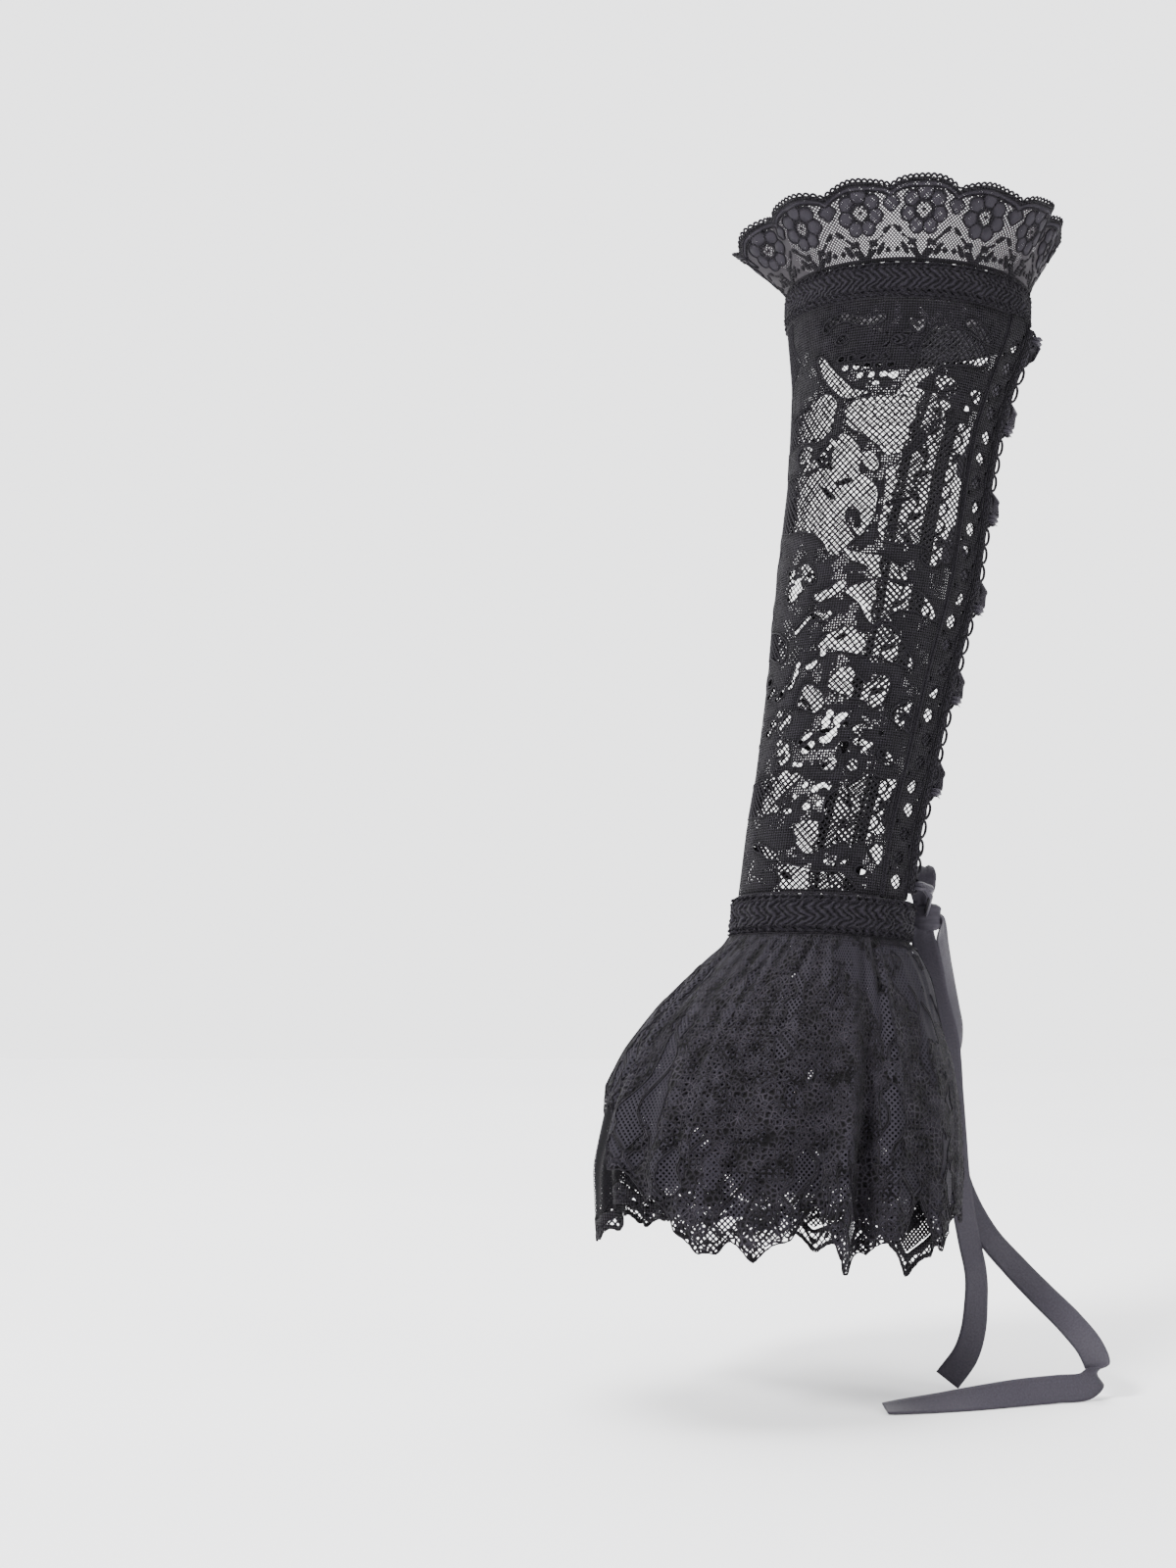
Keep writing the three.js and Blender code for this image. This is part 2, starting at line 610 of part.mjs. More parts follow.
/** A station of the lacing, by its distance from the near or the far seam. */
function overGap(isNear, distance, z, out, width) {
  const seam = seamAngle(isNear ? NEAR_SEAM : FAR_SEAM, z);
  const angle = stepAngle(z, seam, isNear ? distance : -distance);
  const across = onSleeve(angle, z - 1, out).sub(onSleeve(angle, z + 1, out)).normalize();
  return { point: onSleeve(angle, z, out), across, width };
}

/** The stretch of ribbon that crosses the gap between two loops. */
function crossingStations(fromNear, z, drop, leaveOut, middleOut, arriveOut) {
  const rows = [
    { share: 0.0, out: leaveOut, width: RIBBON_GATHERED },
    { share: 0.12, out: leaveOut, width: RIBBON_WIDTH },
    { share: 0.28, out: middleOut, width: RIBBON_WIDTH },
    { share: 0.5, out: middleOut, width: RIBBON_WIDTH },
    { share: 0.72, out: middleOut, width: RIBBON_WIDTH },
    { share: 0.88, out: arriveOut, width: RIBBON_WIDTH },
    { share: 1.0, out: arriveOut, width: RIBBON_GATHERED },
  ];
  return rows.map(({ share, out, width }) => {
    const height = z - share * drop;
    const gap = seamAngle(FAR_SEAM, height) - seamAngle(NEAR_SEAM, height);
    const span = gap * arcPerDegree(height, seamAngle(NEAR_SEAM, height) + gap / 2);
    const firstHalf = share <= 0.5;
    const passed = CROSSING_START + (firstHalf ? share : 1 - share) * (span - 2 * CROSSING_START);
    return overGap(firstHalf === fromNear, passed, height, out, width);
  });
}

/** The turn of the ribbon through a loop, around its cord. */
function turnStations(isNear, z, side) {
  return [60, 0, -60].map((angle) => {
    const arc = THREE.MathUtils.degToRad(angle);
    const distance = TURN_CENTRE - TURN_RADIUS * Math.cos(arc);
    return overGap(isNear, distance, z, side * TURN_RADIUS * Math.sin(arc), RIBBON_GATHERED);
  });
}

/** One half of the lacing: from the middle of the top bar, from loop to loop, to the bow. */
function lacingGeometry(startsNear, knot) {
  const pitch = LOOP_PITCH * LOOPS_PER_CROSSING;
  const middle = (seamAngle(NEAR_SEAM, FIRST_LOOP) + seamAngle(FAR_SEAM, FIRST_LOOP)) / 2;
  const bar = crossingStations(!startsNear, FIRST_LOOP, 0, 0, 1, OVER_CORD).slice(4);
  const start = onSleeve(stepAngle(FIRST_LOOP, middle, startsNear ? -0.2 : 0.2), FIRST_LOOP, 1);
  const stations = [{ ...bar[0], point: start }, ...bar, ...turnStations(startsNear, FIRST_LOOP, 1)];
  for (let crossing = 1; crossing <= CROSSINGS; crossing += 1) {
    const z = FIRST_LOOP - crossing * pitch;
    const arrivesNear = (crossing % 2 === 0) === startsNear;
    const last = crossing === CROSSINGS;
    const over = arrivesNear ? CROSSING_SPREAD : -CROSSING_SPREAD;
    const side = last ? -1 : 1;
    stations.push(...crossingStations(!arrivesNear, z + pitch, pitch, -OVER_CORD, over, side * OVER_CORD));
    stations.push(...turnStations(arrivesNear, z, side));
  }
  const end = FIRST_LOOP - CROSSINGS * pitch;
  const endsNear = (CROSSINGS % 2 === 0) === startsNear;
  for (const { distance, drop, out, width } of KNOT_APPROACH) {
    stations.push(overGap(endsNear, distance, end - drop, out, width));
  }
  const last = stations[stations.length - 1];
  const towards = last.point.clone().sub(knot).normalize();
  stations.push({ ...last, point: knot.clone().addScaledVector(towards, KNOT_REACH) });
  return ribbonGeometry(stations);
}

/** The frill that stands on the top band, with a scalloped rim. */
function topFrillGeometry() {
  const base = TOP_BAND_HEIGHT / 2 + CLEARANCE;
  return ringShell(
    2,
    FRILL_SCALLOPS * 4,
    (around, up) => {
      const angle = around * 360 - 180;
      const spread = readFold(FRILL_FOLDS, angle, 'spread', true);
      const rise = readFold(FRILL_FOLDS, angle, 'rise', true);
      const scallop = Math.abs(Math.sin(Math.PI * FRILL_SCALLOPS * around)) ** 0.6;
      const cut = (FRILL_SCALLOP_DEPTH / Math.hypot(spread, rise)) * (1 - scallop);
      const share = up * (1 - cut * up);
      return onEllipse(sleeveSection(base), angle, base + rise * share, spread * share ** 1.2);
    },
    LACE_WALL,
  );
}

/** A point of the flounce: out counts from between its two layers, in units of their spacing. */
function onFlounce(angle, down, out) {
  const section = {
    halfWidth: readTable(FLOUNCE_SECTIONS, 'down', down, 'halfWidth'),
    halfDepth: readTable(FLOUNCE_SECTIONS, 'down', down, 'halfDepth'),
    shift: readTable(FLOUNCE_SECTIONS, 'down', down, 'shift'),
  };
  const growth = Math.min(1, down / FLOUNCE_FOLDED) ** 1.1;
  const reach = readFold(FLOUNCE_FOLDS, angle, 'reach', true) * growth;
  const spacing = THREE.MathUtils.lerp(LAYER_SPACING_TOP, LAYER_SPACING_HEM, growth);
  return onEllipse(section, angle, FLOUNCE_TOP - down, reach + out * spacing);
}

/** A layer of the flounce between two depths that depend on the angle. */
function flounceGeometry(from, to, rows, out, wall) {
  const columns = FLOUNCE_FOLDS.length * COLUMNS_PER_FOLD;
  return ringShell(
    rows,
    columns,
    (around, share) => {
      const column = Math.round(around * columns);
      const row = FLOUNCE_FOLDS[Math.floor(column / COLUMNS_PER_FOLD)];
      const next = FLOUNCE_FOLDS[(Math.floor(column / COLUMNS_PER_FOLD) + 1) % FLOUNCE_FOLDS.length];
      const end = next.at > row.at ? next.at : next.at + 360;
      const angle = THREE.MathUtils.lerp(row.at, end, (column % COLUMNS_PER_FOLD) / COLUMNS_PER_FOLD);
      return onFlounce(angle, THREE.MathUtils.lerp(from(angle), to(angle), share), out);
    },
    wall,
  );
}

/** The knot of the bow, a rounded block of wound ribbon. */
function knotGeometry() {
  const [width, depth, height] = KNOT.size;
  const round = 1.6;
  const outline = new THREE.Shape();
  outline.absellipse(0, 0, width / 2 - round, depth / 2 - round, 0, 2 * Math.PI);
  const knot = new THREE.ExtrudeGeometry(outline, {
    depth: height - 2 * round,
    bevelThickness: round,
    bevelSize: round,
    bevelSegments: 2,
    curveSegments: 5,
  });
  knot.translate(0, 0, round - height / 2);
  return knot.translate(...KNOT.centre);
}

/** Adds one named piece to a group. */
function addPiece(group, name, geometry, color, roughness) {
  const material = new THREE.MeshStandardMaterial({ color, roughness, metalness: 0 });
  const mesh = new THREE.Mesh(geometry, material);
  mesh.name = name;
  group.add(mesh);
}

const parts = new THREE.Group();
const sleeve = new THREE.Group();
sleeve.rotation.set(THREE.MathUtils.degToRad(-LEAN_BACK), THREE.MathUtils.degToRad(LEAN_SIDE), 0);
sleeve.updateMatrixWorld();
parts.add(sleeve);

const outerHem = (angle) => readFold(FLOUNCE_FOLDS, angle, 'outer', false);
const innerHem = (angle) => readFold(FLOUNCE_FOLDS, angle, 'inner', false);
const band = () => 0;
const trimTop = (angle) => innerHem(angle) - TRIM_DEPTH;
const innerEnd = (angle) => trimTop(angle) - TRIM_SEAM;
const knotInSleeve = sleeve.worldToLocal(new THREE.Vector3(...KNOT.centre));

const lace = (name, geometry) => addPiece(sleeve, name, geometry, LACE_BLACK, 0.85);
lace('top_frill', topFrillGeometry());
lace('top_band', bandGeometry(0, TOP_BAND_HEIGHT, TOP_BAND_WALL, 0.4));
lace('sleeve_lace', sleeveLaceGeometry());
lace('placket_near', placketGeometry(NEAR_SEAM, -1));
lace('placket_far', placketGeometry(FAR_SEAM, 1));
lace('loop_tape_near', loopTapeGeometry(NEAR_SEAM, 1));
lace('loop_tape_far', loopTapeGeometry(FAR_SEAM, -1));
lace('wrist_band', bandGeometry(WRIST_BAND_CENTRE, WRIST_BAND_HEIGHT, WRIST_BAND_WALL, 0.6));
lace('flounce_outer', flounceGeometry(band, outerHem, 4, 0.5, LACE_WALL));
lace('flounce_inner', flounceGeometry(band, innerEnd, 3, -0.5, LACE_WALL));
lace('hem_trim', flounceGeometry(trimTop, innerHem, 1, -0.5, LACE_WALL));

const satin = (group, name, geometry) => addPiece(group, name, geometry, SATIN_BLACK, 0.4);
satin(sleeve, 'lacing_ribbon_a', lacingGeometry(true, knotInSleeve));
satin(sleeve, 'lacing_ribbon_b', lacingGeometry(false, knotInSleeve));
satin(parts, 'bow_knot', knotGeometry());
satin(parts, 'bow_loop_up', freeRibbon(BOW_LOOP_UP, 18));
satin(parts, 'bow_loop_side', freeRibbon(BOW_LOOP_SIDE, 25));
satin(parts, 'ribbon_tail_short', freeRibbon(TAIL_SHORT, 30));
satin(parts, 'ribbon_tail_long', freeRibbon(TAIL_LONG, 36));

export default parts;
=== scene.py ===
"""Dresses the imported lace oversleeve: lace, net, bands, satin lacing and bow.

Lengths are millimetres until a mesh is made, which is in metres.
"""

import logging
import math
from collections.abc import Callable, Sequence
from dataclasses import dataclass, field
from enum import Enum
from functools import partialmethod
from typing import ClassVar

import bpy
import numpy as np
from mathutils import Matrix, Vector
from mathutils.geometry import delaunay_2d_cdt


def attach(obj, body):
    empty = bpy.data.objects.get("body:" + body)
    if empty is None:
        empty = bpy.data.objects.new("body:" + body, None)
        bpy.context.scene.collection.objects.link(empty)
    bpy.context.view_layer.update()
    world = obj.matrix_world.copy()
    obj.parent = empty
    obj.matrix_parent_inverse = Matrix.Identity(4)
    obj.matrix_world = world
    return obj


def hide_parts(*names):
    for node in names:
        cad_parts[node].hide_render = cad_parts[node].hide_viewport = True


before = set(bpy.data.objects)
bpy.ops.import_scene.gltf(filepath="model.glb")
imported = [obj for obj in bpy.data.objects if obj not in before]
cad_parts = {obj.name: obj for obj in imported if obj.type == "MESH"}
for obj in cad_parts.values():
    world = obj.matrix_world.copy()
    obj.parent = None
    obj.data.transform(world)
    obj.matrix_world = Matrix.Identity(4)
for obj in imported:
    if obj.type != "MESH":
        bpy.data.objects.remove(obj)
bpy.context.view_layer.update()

Array = np.ndarray
Place = Callable[[Array, Array, Array], Array]
Thing = bpy.types.Object
Material = bpy.types.Material
log = logging.getLogger("oversleeve")


class Slot(Enum):
    """Material slots of the record."""

    LACE = "lace"
    BAND = "band"
    SATIN = "satin"


class Side(Enum):
    """The two edges of the lacing gap, by the way in which the gap lies."""

    NEAR = 1
    FAR = -1


# Forms that the cloth follows


def lean(points: Array) -> Array:
    """Leans points of the upright forearm back and to the side, into the room."""
    back, side = math.radians(-9.3), math.radians(2.0)
    x = points[..., 0] * math.cos(side) + points[..., 2] * math.sin(side)
    z = points[..., 2] * math.cos(side) - points[..., 0] * math.sin(side)
    y = points[..., 1] * math.cos(back) - z * math.sin(back)
    return np.stack([x, y, points[..., 1] * math.sin(back) + z * math.cos(back)], -1)


def smoothstep(value: Array, low: float, high: float) -> Array:
    """An eased ramp from nought at low to one at high."""
    share = np.clip((value - low) / (high - low), 0, 1)
    return share * share * (3 - 2 * share)


def table(text: str) -> Array:
    """Rows of numbers from a text, with commas inside a row and blanks between the rows."""
    return np.array([[float(part) for part in row.split(",")] for row in text.split()])


def charted(text: str) -> Array:
    """Points of a charted line, from a text of the steps between them in tenths of a millimetre."""
    return np.cumsum(table(text), 0) / 10


def read_sections(rows: Array, at: Array, reach: float) -> tuple[Array, ...]:
    """Reads half width, half depth and shift of a form, rounded off between its rows.

    Args:
        rows: Ascending place, half width, half depth and shift.
        at: Places that are read.
        reach: How far to each side a reading is averaged.

    Returns:
        The three at the places.
    """
    steps = np.linspace(-reach, reach, 7)
    weights = 1 - np.abs(steps) / (reach * 1.3)
    return tuple(sum(weight * np.interp(np.asarray(at, float) + step, rows[:, 0], rows[:, column])
                     for step, weight in zip(steps, weights)) / weights.sum() for column in (1, 2, 3))


def read_fold(rows: Array, angle: Array, column: int, rounded_off: bool = True) -> Array:
    """A column of a table of folds at an angle, rounded over ridges and valleys or straight."""
    turn = np.mod(np.asarray(angle, float) + 180, 360) - 180
    row = np.clip(np.searchsorted(rows[:, 0], turn, "right") - 1, 0, len(rows) - 2)
    share = (turn - rows[row, 0]) / (rows[row + 1, 0] - rows[row, 0])
    share = share * share * (3 - 2 * share) if rounded_off else share
    return rows[row, column] + (rows[row + 1, column] - rows[row, column]) * share


def travelled(points: Array) -> Array:
    """Length along a line of points up to each of them."""
    return np.concatenate([[0], np.cumsum(np.linalg.norm(np.diff(points, axis=0), axis=1))])


def around_ellipse(section: tuple[Array, Array, Array], angle: Array, z: Array, out: Array) -> Array:
    """Points on an ellipse, moved out along its normal, before the lean.

    Args:
        section: Half width, half depth and shift.
        angle: Degrees, 0 at +X and -90 towards the viewer.
        z: Height.
        out: Distance off the ellipse.

    Returns:
        Rows of x, y, z.
    """
    half_width, half_depth, shift = section
    turn = np.radians(angle)
    nx, ny = np.cos(turn) / half_width, np.sin(turn) / half_depth
    length = np.hypot(nx, ny)
    x = shift + half_width * np.cos(turn) + out * nx / length
    y = half_depth * np.sin(turn) + out * ny / length
    return np.stack(np.broadcast_arrays(x, y, z), -1)


@dataclass
class ForearmForm:
    """The surface of the sleeve, with its lifted lacing edges."""

    sections: ClassVar[Array] = table(
        "-232,29,23,-28.2 -216,29,23,-27 -191,29.2,23.6,-24.4 -173,29.8,24.5,-21.1 -138,31.6,26.8,-15.9 "
        "-120,33.2,28.3,-13.2 -102,34.6,29.8,-10.5 -66,35,31.6,-6.8 -47,36.2,33,-5 -29,38.6,35,-2.3 "
        "-16,41.6,37.2,-0.6 -8,43,38.2,-0.1 8,43.2,38.6,0")
    wrist: float = -223
    near_seam: tuple[float, float] = (-18, -18)
    far_seam: tuple[float, float] = (50, 66)
    edge_lift: float = 3
    edge_reach: float = 17
    loop_reach: float = 3.9
    loop_flare: float = 0.35
    gap_fall: float = 14

    def __post_init__(self) -> None:
        """Charts the angle for each arc length from the front line, row by row."""
        self.chart_z = np.arange(-236, 12, 2.0)
        self.chart_s = np.arange(-190, 90, 1.0)
        angles = np.arange(-420, 140, 1.0)
        rows = []
        for z in self.chart_z:
            speed = self.arc_per_degree(np.full_like(angles, z), angles)
            arc = np.concatenate([[0], np.cumsum((speed[1:] + speed[:-1]) / 2)])
            rows.append(np.interp(self.chart_s, arc - np.interp(-90, angles, arc), angles))
        self.chart = np.array(rows)

    def section(self, z: Array) -> tuple[Array, ...]:
        """Half width, half depth and shift at a height."""
        return read_sections(self.sections, z, 4.0)

    def arc_per_degree(self, z: Array, angle: Array) -> Array:
        """Millimetres around the sleeve for one degree."""
        half_width, half_depth, _ = self.section(z)
        turn = np.radians(angle)
        return np.radians(np.hypot(half_width * np.sin(turn), half_depth * np.cos(turn)))

    def seam(self, side: Side, z: Array) -> Array:
        """The angle of a seam at a height."""
        top, wrist = self.near_seam if side is Side.NEAR else self.far_seam
        return top + (wrist - top) * np.asarray(z) / self.wrist

    def step(self, z: Array, angle: Array, distance: Array) -> Array:
        """The angle a number of millimetres to one side of an angle."""
        first = angle + distance / self.arc_per_degree(z, angle)
        return angle + distance / self.arc_per_degree(z, (angle + first) / 2)

    def rise(self, distance: Array) -> Array:
        """How far the cloth stands off the forearm at a distance from a seam, plus in the gap."""
        share = np.clip(1 + distance / self.edge_reach, 0, 1)
        top = self.edge_lift + self.loop_flare * self.loop_reach
        flare = self.edge_lift + self.loop_flare * np.clip(distance, 0, self.loop_reach)
        fall = smoothstep(distance, self.loop_reach, self.loop_reach + self.gap_fall)
        in_gap = np.where(distance <= self.loop_reach, flare, top + (1 - top) * fall)
        return np.where(distance <= 0, self.edge_lift * share * share, in_gap)

    def lift(self, angle: Array, z: Array) -> Array:
        """The lift of the lacing edges at a place of the sleeve."""
        turn = np.where(angle < -90, angle + 360, angle)
        near, far = self.seam(Side.NEAR, z), self.seam(Side.FAR, z)
        from_near = self.rise((turn - near) * self.arc_per_degree(z, (turn + near) / 2))
        from_far = self.rise((far - turn) * self.arc_per_degree(z, (turn + far) / 2))
        outside = np.where(turn <= near, from_near, from_far)
        return np.where((turn > near) & (turn < far), np.maximum(from_near, from_far), outside)

    def point(self, angle: Array, z: Array, out: Array) -> Array:
        """A place of the sleeve's surface, in the room."""
        angle, z = np.asarray(angle, float), np.asarray(z, float)
        return self.ring(angle, z, out + self.lift(angle, z))

    def ring(self, angle: Array, z: Array, out: Array) -> Array:
        """A place on the plain forearm without the lifted edges, in the room."""
        return lean(around_ellipse(self.section(z), angle, z, out))

    def angle_at(self, s: Array, z: Array) -> Array:
        """The angle of an arc length from the front line."""
        row = np.clip((np.asarray(z) - self.chart_z[0]) / 2.0, 0, len(self.chart_z) - 1.001)
        column = np.clip(np.asarray(s) - self.chart_s[0], 0, len(self.chart_s) - 1.001)
        j, i = row.astype(int), column.astype(int)
        v, u = row - j, column - i
        low, high = (self.chart[k, i] * (1 - u) + self.chart[k, i + 1] * u for k in (j, j + 1))
        return low * (1 - v) + high * v

    def cloth(self, s: Array, z: Array, out: Array) -> Array:
        """A place by arc length from the front line and height, in the room."""
        return self.point(self.angle_at(s, z), z, out)

    def arc_to(self, angle: Array, z: Array) -> Array:
        """Arc length from the front line to an angle."""
        turns = np.linspace(0, 1, 25)[:, None]
        speed = self.arc_per_degree(z[None, :], -90 + turns * (angle[None, :] + 90))
        return speed.mean(0) * (angle + 90)


@dataclass
class FlounceForm:
    """The two gathered layers below the wrist band."""

    sections: ClassVar[Array] = table(
        "0,29,23,-28.2 13,39.5,31,-31.5 26,48,37,-34.7 40,55.5,42,-36.8 60,61.5,46,-39.4 81,64,48,-41 "
        "116,62,48,-40.6")
    # angle, how far the fold stands out, length of the outer and of the inner layer
    folds: ClassVar[Array] = table(
        "-180,1,54,108 -163,-5,68,102 -148,1,84,94 -137,-2,92,101 -125,0,100,98 -116,1,113,100 "
        "-107,-3,107,98 -100,0,112,104 -90,0,106,98 -80,-4,94,108 -72,0,116,104 -64,-8,108,98 "
        "-56,1,106,104 -46,-1,92,115 -35,1,109,108 -22,-3,98,104 -6,-2,96,99 14,-6,86,94 38,1,90,101 "
        "62,-6,84,93 86,1,92,103 110,-6,82,94 134,1,88,102 158,-5,70,96 180,1,54,108")
    top: float = -223 - 6.75 - 0.3
    folded: float = 95
    spacing: tuple[float, float] = (1.8, 4.4)
    # gathers across one turn, their height at the band and at the hem
    gathers: int = 44
    gather_height: tuple[float, float] = (0.8, 1.9)
    # where the cloth is measured along the hem, below the band
    measured: float = 88

    def __post_init__(self) -> None:
        """Measures the cloth along the hem for each angle."""
        self.angles = np.arange(-180, 180.5, 0.5)
        self.arc = travelled(self.point(self.angles, np.full_like(self.angles, self.measured), 0.0))
        self.width = float(self.arc[-1])

    def gather(self, angle: Array, down: Array) -> Array:
        """Fine gathers that start at the band and merge into uneven folds towards the hem."""
        turn = np.radians(angle)
        count, (at_band, at_hem) = self.gathers, self.gather_height
        drift = 1.1 * np.sin(3 * turn + 0.7) + 0.9 * np.sin(7 * turn + down / 38)
        fine = np.sin(count * turn + 2.2 * drift) * (0.65 + 0.35 * np.sin(11 * turn))
        broad = np.sin(count * 0.41 * turn + 2.6 * drift + 0.5) * (0.6 + 0.4 * np.sin(5 * turn + 2))
        share = np.clip(down / 80, 0, 1)
        beside_bow = np.exp(-((np.mod(angle + 180, 360) - 180 + 12) / 22) ** 2)
        start = np.clip(down / 5, 0, 1)
        folds = start * (at_band * fine * (1 - share) + at_hem * broad * share**0.8)
        puff = 3.6 * smoothstep(down, -3, 3) * (1 - smoothstep(down, 8, 34))
        return (1 - 0.85 * beside_bow) * folds + beside_bow * puff

    def point(self, angle: Array, down: Array, out: Array) -> Array:
        """A place of the flounce in the room.

        Args:
            angle: Degrees around the wrist.
            down: Distance below the band.
            out: From between the two layers, in units of their spacing.

        Returns:
            Rows of x, y, z.
        """
        growth = np.clip(np.asarray(down) / self.folded, 0, 1) ** 1.1
        reach = read_fold(self.folds, angle, 1) * growth + self.gather(angle, down)
        spacing = self.spacing[0] + (self.spacing[1] - self.spacing[0]) * growth
        return lean(around_ellipse(read_sections(self.sections, down, 5.0), angle,
                                   self.top - np.asarray(down), reach + out * spacing))

    def angle_at(self, u: Array) -> Array:
        """The angle of a place along the hem."""
        return np.interp(np.mod(u, self.width), self.arc, self.angles)

    def layer(self, out: float) -> Place:
        """A layer's surface by place along the hem, height below nought and distance in mm."""
        return lambda u, b, off: self.point(self.angle_at(u), -b, out + off / 3.0)


@dataclass
class FrillForm:
    """The edging lace that stands on the top band."""

    # angle, how far the rim stands out and up
    folds: ClassVar[Array] = table(
        "-180,21,17 -158,15,22 -140,19,22 -118,14,25 -92,15,26 -66,14,25 -42,16,25 -22,11,27 0,13,26 "
        "24,9,27 48,15,25 74,11,26 100,16,24 126,12,25 152,18,21 180,21,17")
    scallops: int = 14
    scallop_pitch: float = 23.5
    height: float = 29
    base: float = 6.3

    @property
    def width(self) -> float:
        """Length of the strip."""
        return self.scallops * self.scallop_pitch

    def point(self, u: Array, v: Array, out: Array) -> Array:
        """A place of the frill in the room.

        Args:
            u: Along the strip.
            v: Up from the band.
            out: Off the cloth.

        Returns:
            Rows of x, y, z.
        """
        angle = np.mod(np.asarray(u) / self.width, 1) * 360 - 180
        share = np.clip(np.asarray(v) / self.height, 0, 1.05)
        spread, rise = (read_fold(self.folds, angle, column) for column in (1, 2))
        turn = np.radians(angle)
        ripple = 0.7 * share * np.sin(self.scallops * 1.5 * turn + 0.8) * np.clip(share * 2, 0, 1)
        z = self.base + rise * share - out * 0.45
        return lean(around_ellipse(FOREARM.section(np.full_like(angle, self.base)), angle, z,
                                   spread * share**1.2 + ripple + out * 0.9))


FOREARM = ForearmForm()


# Meshes


@dataclass
class Patch:
    """Faces of one finish, before they become a mesh.

    uv is in centimetres of the flat cloth.
    """

    points: Array
    faces: Array
    uv: Array

    def area(self, flat: tuple[float, float]) -> float:
        """Area of one side of a closed sheet cut from a flat piece, clipped to between 0.31 and 1 times that
        piece.
        """
        corner = self.points[self.faces] / 1000
        double = np.cross(corner[:, 1] - corner[:, 0], corner[:, 2] - corner[:, 0])
        return float(np.clip(np.linalg.norm(double, axis=1).sum() / 4, 0.31 * flat[0] * flat[1],
                             flat[0] * flat[1]))


def place_in_scene(name: str, data: bpy.types.ID) -> Thing:
    """An object of the scene that holds some data."""
    thing = bpy.data.objects.new(name, data)
    bpy.context.scene.collection.objects.link(thing)
    return thing


def make_mesh(name: str, patch: Patch, material: Material) -> Thing:
    """A mesh object from a patch of triangles or quads, with its cloth coordinates as UV.

    Args:
        name: Piece name.
        patch: Faces in millimetres.
        material: Its finish.

    Returns:
        The object, at the origin.
    """
    mesh = bpy.data.meshes.new(name)
    mesh.vertices.add(len(patch.points))
    mesh.vertices.foreach_set("co", (patch.points * 0.001).astype(np.float32).ravel())
    mesh.loops.add(patch.faces.size)
    mesh.loops.foreach_set("vertex_index", patch.faces.astype(np.int32).ravel())
    mesh.polygons.add(len(patch.faces))
    starts = np.arange(0, patch.faces.size, patch.faces.shape[1], dtype=np.int32)
    mesh.polygons.foreach_set("loop_start", starts)
    layer = mesh.uv_layers.new(name="cloth")
    layer.data.foreach_set("uv", patch.uv[patch.faces.ravel()].astype(np.float32).ravel())
    mesh.update(calc_edges=True)
    mesh.validate()
    mesh.shade_smooth()
    mesh.materials.append(material)
    return place_in_scene(name, mesh)


def grid_quads(number: Array) -> Array:
    """The quads of a grid of point numbers."""
    corners = number[:-1, :-1], number[:-1, 1:], number[1:, 1:], number[1:, :-1]
    return np.stack(corners, -1).reshape(-1, 4)


def closed_sheet(sides: Sequence[Array], rows: int, uv: Array, ring: bool) -> Patch:
    """A thin closed body between the two sides of a grid of points.

    Args:
        sides: Points of the front and of the back, row by row.
        rows: Their number of rows.
        uv: Cloth places of one side.
        ring: Whether the last column joins the first.

    Returns:
        A patch of quads.
    """
    size = len(uv)
    number = np.arange(size).reshape(rows, -1)
    if ring:
        number = np.concatenate([number, number[:, :1]], 1)
    quads = grid_quads(number)
    rim = [(number[0, :-1], number[0, 1:]), (number[-1, 1:], number[-1, :-1])]
    if not ring:
        rim += [(number[1:, 0], number[:-1, 0]), (number[:-1, -1], number[1:, -1])]
    walls = [np.stack([q, p, p + size, q + size], -1) for p, q in rim]
    faces = np.concatenate([quads, quads[:, ::-1] + size, *walls])
    return outwards(Patch(np.concatenate(sides), faces, np.tile(uv, (2, 1))), quads[len(quads) // 2], size)


def shell(place: Place, across: Array, along: Array, wall: float, ring: bool = True) -> Patch:
    """A thin closed shell over a grid of cloth places.

    Args:
        place: Surface by two cloth places and a distance off it.
        across: Grid of first cloth places, rows by columns.
        along: Grid of second cloth places.
        wall: Thickness.
        ring: Whether the last column joins the first.

    Returns:
        A patch of quads.
    """
    flat = across.ravel(), along.ravel()
    sides = [place(*flat, np.full(across.size, side * wall / 2)) for side in (1, -1)]
    return closed_sheet(sides, len(across), np.stack(flat, -1) / 10, ring)


def outwards(patch: Patch, face: Array, size: int) -> Patch:
    """Turns the faces over where the front of a shell faces its own back."""
    corner = patch.points[face]
    normal = np.cross(corner[1] - corner[0], corner[2] - corner[0])
    if np.dot(normal, corner[0] - patch.points[face[0] + size]) < 0:
        return Patch(patch.points, patch.faces[:, ::-1], patch.uv)
    return patch


